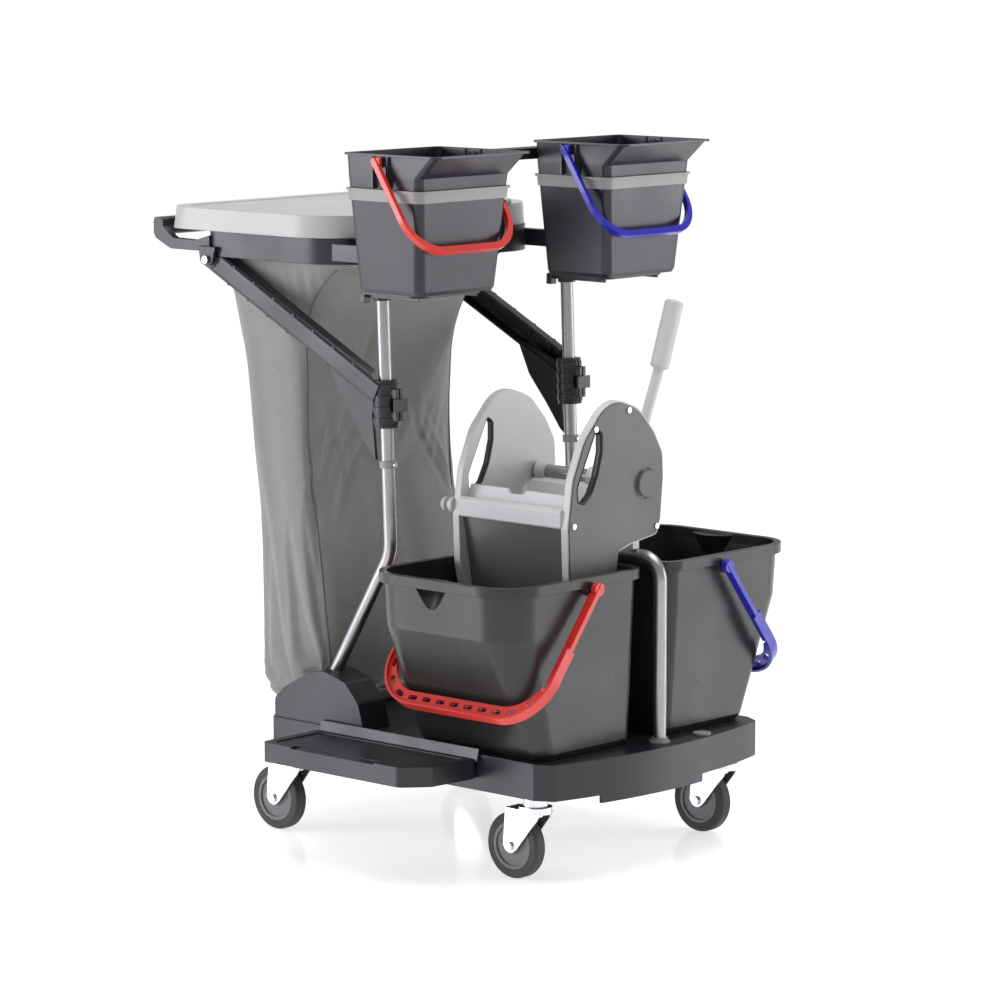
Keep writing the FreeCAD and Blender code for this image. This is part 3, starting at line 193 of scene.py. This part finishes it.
black = plastic("frame_plastic", (0.0105, 0.0100, 0.0145), 0.34, 0.00007, 1100, 0.0018,
                (0.0150, 0.0145, 0.0200))
bucket = plastic("bucket_plastic", (0.0150, 0.0150, 0.0148), 0.28, 0.00005, 1300, 0.0016,
                 (0.0190, 0.0190, 0.0186))
small_bucket = plastic("small_bucket_plastic", (0.0135, 0.0125, 0.0180), 0.30, 0.00005, 1300, 0.0014,
                       (0.0180, 0.0170, 0.0240))
light_grey = plastic("wringer_plastic", (0.52, 0.525, 0.525), 0.36, 0.00005, 900, 0.0016,
                     (0.57, 0.575, 0.575))
basket_grey = plastic("basket_grey", (0.10, 0.10, 0.103), 0.36, 0.00006, 900, 0.0012,
                      (0.125, 0.125, 0.128))
cover_grey = plastic("cover_grey", (0.105, 0.105, 0.1), 0.44, 0.0001, 700, 0.0014, (0.12, 0.12, 0.115))
lid_grey = plastic("lid_plastic", (0.42, 0.425, 0.415), 0.38, 0.00007, 800, 0.002, (0.46, 0.465, 0.455))
red = plastic("red_plastic", (0.62, 0.028, 0.022), 0.3, 0.00004, 900, 0.0016, (0.68, 0.04, 0.03),
              Coat_Weight=0.2)
blue = plastic("blue_plastic", (0.014, 0.01, 0.36), 0.3, 0.00004, 900, 0.0016, (0.02, 0.015, 0.42),
               Coat_Weight=0.2)
hub = plastic("hub_plastic", (0.12, 0.123, 0.125), 0.4, 0.00006, 900, 0.001, (0.145, 0.148, 0.15))
grip_grey = plastic("grip_grey", (0.5, 0.51, 0.51), 0.5, 0.00012, 800, 0.0016, (0.57, 0.58, 0.58))
cap_grey = plastic("cap_grey", (0.27, 0.27, 0.28), 0.4, 0.00006, 900, 0.001, (0.32, 0.32, 0.33))
steel = metal("tube_steel", (0.40, 0.40, 0.41), 0.33, (1, 1, 0.06))
zinc = zinc_plate()
screw_zinc = metal("screw_zinc", (0.78, 0.78, 0.79), 0.25, (1, 1, 1), 900)
tyre = rubber()
band = clear_band()
cloth = woven("bag_fabric", (0.235, 0.235, 0.222), (0.275, 0.275, 0.262))
seam_cloth = woven("seam_fabric", (0.135, 0.135, 0.13), (0.16, 0.16, 0.155), 0.0014)
teeth_black = plastic("zip_teeth", (0.03, 0.03, 0.032), 0.32, 0.00005, 1500, 0.0003)
# near-black sleeve colour: painted shade for the inside of the wringer's hand slots
painted_slot_shade = plastic("slot_painted_shade", (0.010, 0.010, 0.012), 0.4, 0.00006, 1200, 0.0005)
zip_black = plastic("zip_black", (0.012, 0.012, 0.013), 0.5, 0.00015, 1500, 0.0004)

LOOKS = {
    "caster_fork": zinc, "wheel_core": hub, "tyre": tyre, "caster_stems": zinc, "base_deck": black,
    "side_shelf": black, "shelf_hinge_pins": zinc, "upright": steel, "strut_pins": zinc,
    "strut": black, "clamp_lever": black, "clamp": black, "stop_ring_screws": screw_zinc,
    "stop_rings": cap_grey, "crossbar": black, "bucket_carriers": black, "bag_frame": black,
    "lid_hinge_pins": zinc, "lid": lid_grey, "small_bucket": small_bucket, "bucket_band": band,
    "big_bucket": bucket, "wringer_plate": light_grey, "wringer_cover": cover_grey,
    "cover_screws": screw_zinc, "front_rail": light_grey, "wringer_basket": basket_grey,
    "sieve_plate": light_grey, "rail_knob": light_grey, "lever_shaft": steel, "shaft_cap": cover_grey,
    "lever_arm": light_grey, "lever_grip": grip_grey, "press_plate": light_grey,
    "bridge_tube": steel, "bridge_flanges": cap_grey, "deck_caps": cap_grey,
    "small_bail_left": red, "big_bail_left": red, "small_bail_right": blue, "big_bail_right": blue,
    "bag_zipper": zip_black, "bag": cloth,
}

for name, obj in nodes.items():
    look = LOOKS[max((k for k in LOOKS if name.startswith(k)), key=len)]
    if not obj.data.materials:
        obj.data.materials.append(look)
    for k in range(len(obj.data.materials)):
        obj.data.materials[k] = look


# ---- the hung bag -----------------------------------------------------------------------------
AROUND = 264
ROWS = 168
BOTTOM_RINGS = 12
MOST_OUT = 0.004
HELD_ABOVE = 0.872
HELD_BELOW = 0.225
SOFT_HOLD = 0.035
SETTLE_STEPS = 22
SETTLE_SIDE = 0.004
SETTLE_IN = -0.0065
SETTLE_OUT = 0.0035
CLOTH_THICK = 0.0012
# height, back x, front x, half width, back corner radius, front corner radius
BAG = (
    (0.1850, -0.252, -0.134, 0.146, 0.040, 0.040),
    (0.1920, -0.266, -0.120, 0.160, 0.044, 0.042),
    (0.2070, -0.278, -0.112, 0.170, 0.046, 0.042),
    (0.2650, -0.283, -0.109, 0.176, 0.046, 0.040),
    (0.3500, -0.286, -0.119, 0.175, 0.046, 0.038),
    (0.4340, -0.289, -0.131, 0.173, 0.046, 0.037),
    (0.5200, -0.296, -0.147, 0.170, 0.046, 0.037),
    (0.6200, -0.311, -0.159, 0.170, 0.046, 0.037),
    (0.7300, -0.318, -0.160, 0.173, 0.043, 0.039),
    (0.8050, -0.322, -0.146, 0.186, 0.040, 0.046),
    (0.8500, -0.322, -0.107, 0.200, 0.034, 0.062),
    (0.8900, -0.322, -0.052, 0.204, 0.031, 0.076),
    (0.9050, -0.322, -0.036, 0.217, 0.026, 0.076),
    (0.9270, -0.322, -0.034, 0.219, 0.024, 0.076),
)
BAG_Y = 0.0215


def between(z):
    """Section values at a height, smooth through the table."""
    if z <= BAG[0][0]:
        return BAG[0][1:]
    for k in range(len(BAG) - 1):
        lo, hi = BAG[k], BAG[k + 1]
        if z <= hi[0]:
            before = BAG[max(k - 1, 0)]
            after = BAG[min(k + 2, len(BAG) - 1)]
            t = (z - lo[0]) / (hi[0] - lo[0])
            out = []
            for a, b, c, d in zip(before[1:], lo[1:], hi[1:], after[1:]):
                m0 = (c - a) / max(hi[0] - before[0], 1e-6) * (hi[0] - lo[0])
                m1 = (d - b) / max(after[0] - lo[0], 1e-6) * (hi[0] - lo[0])
                if (c - b) * (b - a) <= 0:
                    m0 = 0
                if (d - c) * (c - b) <= 0:
                    m1 = 0
                out.append(b * (2 * t**3 - 3 * t**2 + 1) + c * (3 * t**2 - 2 * t**3)
                           + m0 * (t**3 - 2 * t**2 + t) + m1 * (t**3 - t**2))
            return out
    return BAG[-1][1:]


def section_point(z, share):
    """Point and outward normal on the section at height z. Share runs from the middle of the back
    through the left side, the front and the right side."""
    x0, x1, w, r0, r1 = between(z)
    runs = [("line", (x0, 0), (x0, -(w - r0)), (-1, 0)), ("arc", (x0 + r0, -(w - r0)), r0, 180),
            ("line", (x0 + r0, -w), (x1 - r1, -w), (0, -1)), ("arc", (x1 - r1, -(w - r1)), r1, 270),
            ("line", (x1, -(w - r1)), (x1, 0), (1, 0))]
    sizes = [math.dist(r[1], r[2]) if r[0] == "line" else r[2] * math.pi / 2 for r in runs]
    mirrored = share > 0.5
    along = (1 - share if mirrored else share) * 2 * sum(sizes)
    x = y = nx = ny = 0.0
    for run, size in zip(runs, sizes):
        if along > size + 1e-9 and run is not runs[-1]:
            along -= size
            continue
        t = min(along / size, 1.0)
        if run[0] == "line":
            (ax, ay), (bx, by) = run[1], run[2]
            x, y = ax + (bx - ax) * t, ay + (by - ay) * t
            nx, ny = run[3]
        else:
            angle = math.radians(run[3] + 90 * t)
            nx, ny = math.cos(angle), math.sin(angle)
            x, y = run[1][0] + run[2] * nx, run[1][1] + run[2] * ny
        break
    if mirrored:
        y, ny = -y, -ny
    return Vector((x, y + BAG_Y, z)), Vector((nx, ny, 0))


def ridge(d, width):
    return math.exp(-(d / width) ** 2)


# share, height, lean (share per metre), half length, width (share), depth
FOLDS = (
    (0.225, 0.640, -0.03, 0.26, 0.026, -0.0040), (0.268, 0.420, 0.04, 0.22, 0.022, 0.0028),
    (0.345, 0.600, 0.50, 0.075, 0.0065, 0.0042), (0.362, 0.588, 0.55, 0.070, 0.0070, -0.0052),
    (0.385, 0.560, 0.62, 0.080, 0.0075, 0.0040), (0.402, 0.545, 0.60, 0.085, 0.0090, -0.0045),
    (0.372, 0.760, -0.35, 0.060, 0.0110, -0.0032), (0.455, 0.740, 0.30, 0.055, 0.0100, -0.0034),
    (0.470, 0.420, 0.02, 0.22, 0.030, -0.0045), (0.535, 0.500, -0.06, 0.24, 0.024, -0.0042),
    (0.598, 0.590, -0.60, 0.080, 0.0080, -0.0048), (0.622, 0.600, -0.55, 0.070, 0.0070, 0.0036),
    (0.700, 0.620, 0.05, 0.22, 0.024, -0.0042), (0.750, 0.420, -0.05, 0.20, 0.022, 0.0028),
    (0.165, 0.330, 0.05, 0.16, 0.016, -0.0036), (0.200, 0.300, 0.10, 0.13, 0.013, 0.0026),
    (0.235, 0.270, 0.14, 0.10, 0.012, -0.0034), (0.060, 0.520, 0.03, 0.26, 0.028, -0.0040),
    (0.930, 0.480, -0.04, 0.26, 0.030, -0.0045), (0.830, 0.330, -0.06, 0.16, 0.017, -0.0036),
)


def fold_depth(share, z):
    """How far the cloth stands out from the plain section; negative where it is drawn in."""
    total = 0.0
    for s, h, lean, half, width, depth in FOLDS:
        d = (share - s - lean * (z - h) + 0.5) % 1.0 - 0.5
        total += depth * ridge(d, width) * ridge(z - h, half)
    wave = noise.noise(Vector((math.cos(share * math.tau) * 2.2, math.sin(share * math.tau) * 2.2, z * 3)))
    total += 0.0022 * wave
    return total


def build_bag():
    """One-sided skin of the bag: its wall row by row, then its bottom ring by ring."""
    mesh = bpy.data.meshes.new("hung_bag")
    verts, faces = [], []
    z0, z1 = BAG[0][0], BAG[-1][0]
    for j in range(ROWS + 1):
        z = z0 + (z1 - z0) * j / ROWS
        free = min(1.0, max(0.0, (z1 - z) / 0.09)) * min(1.0, (z - z0) / 0.03)
        for i in range(AROUND):
            share = i / AROUND
            p, n = section_point(z, share)
            d = fold_depth(share, z) * free
            verts.append(p + n * min(d, MOST_OUT))
    for j in range(ROWS):
        for i in range(AROUND):
            a = j * AROUND + i
            b = j * AROUND + (i + 1) % AROUND
            faces.append((a, b, b + AROUND, a + AROUND))
    base = len(verts)
    x0, x1 = BAG[0][1:3]
    middle = Vector(((x0 + x1) / 2, BAG_Y, z0 + 0.0006))
    for k in range(1, BOTTOM_RINGS):
        for i in range(AROUND):
            p = verts[i]
            verts.append(p.lerp(middle, k / BOTTOM_RINGS))
    last = len(verts)
    verts.append(middle)
    for k in range(BOTTOM_RINGS - 1):
        for i in range(AROUND):
            n = (i + 1) % AROUND
            a = i if k == 0 else base + (k - 1) * AROUND + i
            b = n if k == 0 else base + (k - 1) * AROUND + n
            faces.append((base + k * AROUND + i, base + k * AROUND + n, b, a))
    inner = base + (BOTTOM_RINGS - 2) * AROUND
    for i in range(AROUND):
        faces.append((last, inner + (i + 1) % AROUND, inner + i))
    mesh.from_pydata(verts, [], faces)
    mesh.update()
    obj = bpy.data.objects.new("hung_bag", mesh)
    bpy.context.scene.collection.objects.link(obj)
    return obj


def smooth(obj):
    for face in obj.data.polygons:
        face.use_smooth = True


def apply_modifiers(obj):
    graph = bpy.context.evaluated_depsgraph_get()
    mesh = bpy.data.meshes.new_from_object(obj.evaluated_get(graph))
    old = obj.data
    obj.modifiers.clear()
    obj.data = mesh
    bpy.data.meshes.remove(old)


def settle(obj):
    """Lets the bag hang as cloth: held at the mouth and the foot, softly held between them, with a
    little spare cloth. No point then ends further from its start than the SETTLE limits."""
    start = [v.co.copy() for v in obj.data.vertices]
    normals = [v.normal.copy() for v in obj.data.vertices]
    group = obj.vertex_groups.new(name="held")
    for v in obj.data.vertices:
        z = v.co.z
        hold = max(0.0, min(1.0, (z - HELD_ABOVE) / 0.02), min(1.0, (HELD_BELOW - z) / 0.03))
        group.add([v.index], max(hold, SOFT_HOLD), "REPLACE")
    cloth_mod = obj.modifiers.new("settle", "CLOTH")
    values = cloth_mod.settings
    values.quality = 5
    values.mass = 0.25
    values.vertex_group_mass = "held"
    values.pin_stiffness = 1.0
    values.tension_stiffness = 22
    values.compression_stiffness = 22
    values.shear_stiffness = 10
    values.bending_stiffness = 0.9
    values.shrink_min = -0.022
    cloth_mod.collision_settings.use_collision = False
    cloth_mod.collision_settings.use_self_collision = False
    cloth_mod.point_cache.frame_start = 1
    cloth_mod.point_cache.frame_end = SETTLE_STEPS
    for k in range(1, SETTLE_STEPS + 1):
        bpy.context.scene.frame_set(k)
    apply_modifiers(obj)
    bpy.context.scene.frame_set(1)
    for v, a, n in zip(obj.data.vertices, start, normals):
        move = v.co - a
        out = move.dot(n)
        side = move - n * out
        if side.length > SETTLE_SIDE:
            side = side.normalized() * SETTLE_SIDE
        v.co = a + side + n * max(SETTLE_IN, min(SETTLE_OUT, out))
    obj.data.update()


def corner_share(z, at_front):
    """Where on the section the middle of a left-hand corner lies: the front one or the rear one."""
    x0, x1, w, r0, r1 = between(z)
    back, rear, side = w - r0, r0 * math.pi / 2, (x1 - r1) - (x0 + r0)
    front, last = r1 * math.pi / 2, w - r1
    total = back + rear + side + front + last
    along = back + rear + side + front / 2 if at_front else back + rear / 2
    return along / total / 2


def on_bag(verts, share, row):
    """Point on the settled bag, between its columns."""
    place = (share % 1.0) * AROUND
    i = int(place)
    a = verts[row * AROUND + i % AROUND]
    b = verts[row * AROUND + (i + 1) % AROUND]
    return a.lerp(b, place - i)


def add_piece(name, verts, faces, look, body="root"):
    mesh = bpy.data.meshes.new(name)
    mesh.from_pydata([tuple(v) for v in verts], [], faces)
    mesh.update()
    bm = bmesh.new()
    bm.from_mesh(mesh)
    bmesh.ops.recalc_face_normals(bm, faces=bm.faces)
    bm.to_mesh(mesh)
    bm.free()
    obj = bpy.data.objects.new(name, mesh)
    bpy.context.scene.collection.objects.link(obj)
    obj.data.materials.append(look)
    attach(obj, body)
    return obj


def ribbon(name, rings, look, body="root", closed=False):
    """Skin over a row of equal rings, shut at its two ends or run round to its start."""
    verts = [p for ring in rings for p in ring]
    count = len(rings[0])
    faces = []
    steps = len(rings) if closed else len(rings) - 1
    for k in range(steps):
        for i in range(count):
            n = (i + 1) % count
            after = (k + 1) % len(rings)
            faces.append((k * count + i, k * count + n, after * count + n, after * count + i))
    if not closed:
        faces.append(tuple(range(count)))
        faces.append(tuple(len(verts) - count + i for i in range(count)))
    return add_piece(name, verts, faces, look, body)


def seam(name, verts, mirrored, front):
    """Piped seam down one corner of the bag."""
    rings = []
    for row in range(10, ROWS - 10):
        z = BAG[0][0] + (BAG[-1][0] - BAG[0][0]) * row / ROWS
        share = corner_share(z, front)
        share = 1 - share if mirrored else share
        p = on_bag(verts, share, row)
        _, n = section_point(z, share)
        side = n.cross(Vector((0, 0, 1))).normalized()
        ring = []
        for k in range(8):
            a = math.tau * k / 8
            ring.append(p + n * (0.0002 + 0.0013 * math.cos(a)) + side * 0.0016 * math.sin(a))
        rings.append(ring)
    return ribbon(name, rings, seam_cloth)


ZIP = (0.214, 0.738)
ZIP_Y = -0.1025
ZIP_STEPS = 190
TEETH_PITCH = 0.0026


def flap_reach(z):
    """How far the zip's flap stands out from the bag."""
    share = (z - ZIP[0]) / (ZIP[1] - ZIP[0])
    rise = min(1.0, share / 0.07) * min(1.0, (1 - share) / 0.05)
    rise = math.sin(rise * math.pi / 2)
    wave = 0.0012 * math.sin(z * 46) + 0.0007 * math.sin(z * 97)
    return 0.001 + rise * (0.0085 + 0.006 * share ** 2 + wave)


def build_zip():
    """Zip along the rear left edge: two folded tapes that stand out from the bag, with their teeth."""
    for side in (-1, 1):
        rings = []
        for k in range(ZIP_STEPS + 1):
            z = ZIP[0] + (ZIP[1] - ZIP[0]) * k / ZIP_STEPS
            back = between(z)[0] - 0.0004
            reach = flap_reach(z)
            y0 = ZIP_Y + side * 0.0003
            y1 = ZIP_Y + side * 0.0019
            spread = ZIP_Y + side * 0.0034
            rings.append([Vector((back + 0.0015, y0, z)), Vector((back - reach * 0.6, y0, z)),
                          Vector((back - reach, y0, z)), Vector((back - reach - 0.0004, (y0 + y1) / 2, z)),
                          Vector((back - reach, y1, z)), Vector((back - reach * 0.6, y1, z)),
                          Vector((back + 0.0005, spread, z)), Vector((back + 0.0015, spread, z))])
        tape = ribbon("zip_tape_" + ("a" if side < 0 else "b"), rings, zip_black)
        smooth(tape)
        if side < 0:
            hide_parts("bag_zipper")
    verts, faces = [], []
    count = int((ZIP[1] - ZIP[0] - 0.012) / TEETH_PITCH)
    for k in range(count):
        z = ZIP[0] + 0.006 + k * TEETH_PITCH
        side = -1 if k % 2 else 1
        back = between(z)[0] - 0.0004 - flap_reach(z)
        x0, x1 = back - 0.0012, back + 0.0016
        y0, y1 = sorted((ZIP_Y - side * 0.0006, ZIP_Y + side * 0.0026))
        base = len(verts)
        for dx, dy in ((x0, y0), (x1, y0), (x1, y1), (x0, y1)):
            verts.append(Vector((dx, dy, z - 0.0008)))
        for dx, dy in ((x0, y0), (x1, y0), (x1, y1), (x0, y1)):
            verts.append(Vector((dx, dy, z + 0.0008)))
        for f in ((0, 3, 2, 1), (4, 5, 6, 7), (0, 1, 5, 4), (1, 2, 6, 5), (2, 3, 7, 6), (3, 0, 4, 7)):
            faces.append(tuple(base + q for q in f))
    add_piece("zip_teeth", verts, faces, teeth_black)


bag = build_bag()
bag.data.materials.append(cloth)
settle(bag)
skin = [v.co.copy() for v in bag.data.vertices]
thick = bag.modifiers.new("thick", "SOLIDIFY")
thick.thickness = CLOTH_THICK
thick.offset = -1
apply_modifiers(bag)
smooth(bag)
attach(bag, "root")
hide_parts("bag")
seams = [seam("bag_seam_front_left", skin, False, True), seam("bag_seam_front_right", skin, True, True),
         seam("bag_seam_rear_right", skin, True, False)]
for obj in seams:
    smooth(obj)
build_zip()


# ---- painted shade in the wringer's hand slots: dark sleeves -----------------------------------
# y, z, corner radius, in the part's frame
HAND_SLOT = ((-0.0725, 0.666, 0.005), (-0.0585, 0.656, 0.008), (-0.0585, 0.628, 0.020),
             (-0.0685, 0.592, 0.030), (-0.0825, 0.566, 0.014), (-0.0985, 0.553, 0.008),
             (-0.1145, 0.558, 0.007), (-0.1165, 0.580, 0.020), (-0.1005, 0.612, 0.030))
# insets of the dark sleeves from the slot outline; the sleeves are painted shade of the slot walls
SHADE_SLEEVE_OUTER = 0.0004
SHADE_SLEEVE_INNER = 0.0018


def rounded_loop(points, inset, steps=6):
    """Closed outline with an arc at each corner, moved inwards by inset."""
    out = []
    count = len(points)
    for i in range(count):
        p = Vector(points[i][:2])
        a = (Vector(points[i - 1][:2]) - p)
        b = (Vector(points[(i + 1) % count][:2]) - p)
        room = min(a.length, b.length) * 0.49
        a.normalize()
        b.normalize()
        angle = a.angle(b)
        r = points[i][2]
        t = min(r / math.tan(angle / 2), room)
        r = t * math.tan(angle / 2)
        centre = p + (a + b).normalized() * (r / math.sin(angle / 2))
        first, last = p + a * t - centre, p + b * t - centre
        for k in range(steps + 1):
            d = first.lerp(last, k / steps).normalized() * r
            out.append(centre + d)
    loop = []
    for i, q in enumerate(out):
        run = (out[(i + 1) % len(out)] - out[i - 1]).normalized()
        loop.append(q + Vector((-run.y, run.x)) * inset)
    return loop


def shade_sleeve(name, x0, x1):
    """Thin dark sleeve round the inside of a hand slot: painted shade of the slot's walls."""
    plain = rounded_loop(HAND_SLOT, 0.0)
    turn = sum(a.x * b.y - b.x * a.y for a, b in zip(plain, plain[1:] + plain[:1]))
    way = 1 if turn > 0 else -1
    outer = rounded_loop(HAND_SLOT, way * SHADE_SLEEVE_OUTER)
    inner = rounded_loop(HAND_SLOT, way * SHADE_SLEEVE_INNER)
    rings = []
    for o, n in zip(outer, inner):
        mid = o.lerp(n, 0.5)
        rings.append([Vector((x0, o.x, o.y)), Vector((x1, o.x, o.y)), Vector((x1 + 0.0004, mid.x, mid.y)),
                      Vector((x1, n.x, n.y)), Vector((x0, n.x, n.y)), Vector((x0 - 0.0004, mid.x, mid.y))])
    return ribbon(name, rings, painted_slot_shade, "wringer", closed=True)


rear_lo, rear_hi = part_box("wringer_plate_rear")
front_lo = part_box("wringer_plate_front")[0]
cover_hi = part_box("wringer_cover")[1]
# dark sleeves through the rear plate and through the front plate and cover: painted shade in the slots
smooth(shade_sleeve("hand_slot_shade_rear", rear_lo[0] + 0.0008, rear_hi[0] - 0.0008))
smooth(shade_sleeve("hand_slot_shade_front", front_lo[0] + 0.0008, cover_hi[0] - 0.0006))


# ---- floor, light and camera ------------------------------------------------------------------
FLOOR_HALF = 150


def build_floor():
    mesh = bpy.data.meshes.new("studio_floor")
    corners = [(x * FLOOR_HALF, y * FLOOR_HALF, 0) for x, y in ((-1, -1), (1, -1), (1, 1), (-1, 1))]
    mesh.from_pydata(corners, [], [(0, 1, 2, 3)])
    obj = bpy.data.objects.new("studio_floor", mesh)
    bpy.context.scene.collection.objects.link(obj)
    made = Shader("floor", (0.84, 0.84, 0.845), 0.14, Emission_Color=(1, 1, 1, 1), Emission_Strength=0.62)
    made.mix(made.noise(0.6, 2), (0.86, 0.86, 0.865), 0.6)
    made.bump(made.noise(3, 2), 0.0004, 0.2)
    mesh.materials.append(made.mat)


def area(name, place, aim, width, height, power, colour):
    light = bpy.data.lights.new(name, "AREA")
    light.shape = "RECTANGLE"
    light.size = width
    light.size_y = height
    light.energy = power
    light.color = colour
    obj = bpy.data.objects.new(name, light)
    obj.location = place
    obj.rotation_euler = (Vector(aim) - Vector(place)).to_track_quat("-Z", "Y").to_euler()
    bpy.context.scene.collection.objects.link(obj)


build_floor()
scene = bpy.context.scene
world = bpy.data.worlds.new("studio")
world.use_nodes = True
tree = world.node_tree
rays = tree.nodes.new("ShaderNodeLightPath")
strength = tree.nodes.new("ShaderNodeMapRange")
strength.inputs["To Min"].default_value = 0.42
strength.inputs["To Max"].default_value = 1.0
tree.links.new(rays.outputs["Is Camera Ray"], strength.inputs["Value"])
tree.links.new(strength.outputs["Result"], tree.nodes["Background"].inputs["Strength"])
tree.nodes["Background"].inputs["Color"].default_value = (1, 1, 1, 1)
scene.world = world
area("key", (-3.0, -3.5, 1.3), (0, 0, 0.6), 2.2, 2.2, 105, (0.93, 0.93, 1.0))
area("side", (2.9, 3.5, 1.2), (0, 0, 0.6), 1.3, 2.0, 55, (0.95, 0.95, 1.0))
area("top", (0.2, 0.3, 3.4), (0, 0, 0), 3.0, 3.0, 95, (1, 1, 1))
scene.view_settings.view_transform = "Standard"

cam = bpy.data.cameras.new("camera")
cam.lens = 153.41
cam.sensor_width = 36.0
cam.clip_end = 100.0
cam_obj = bpy.data.objects.new("camera", cam)
cam_obj.location = (4.4794, -4.7772, 1.4567)
cam_target = Vector((0.0855, 0.0215, 0.5214))
cam_obj.rotation_euler = (cam_target - cam_obj.location).to_track_quat("-Z", "Y").to_euler()
scene.collection.objects.link(cam_obj)
scene.camera = cam_obj
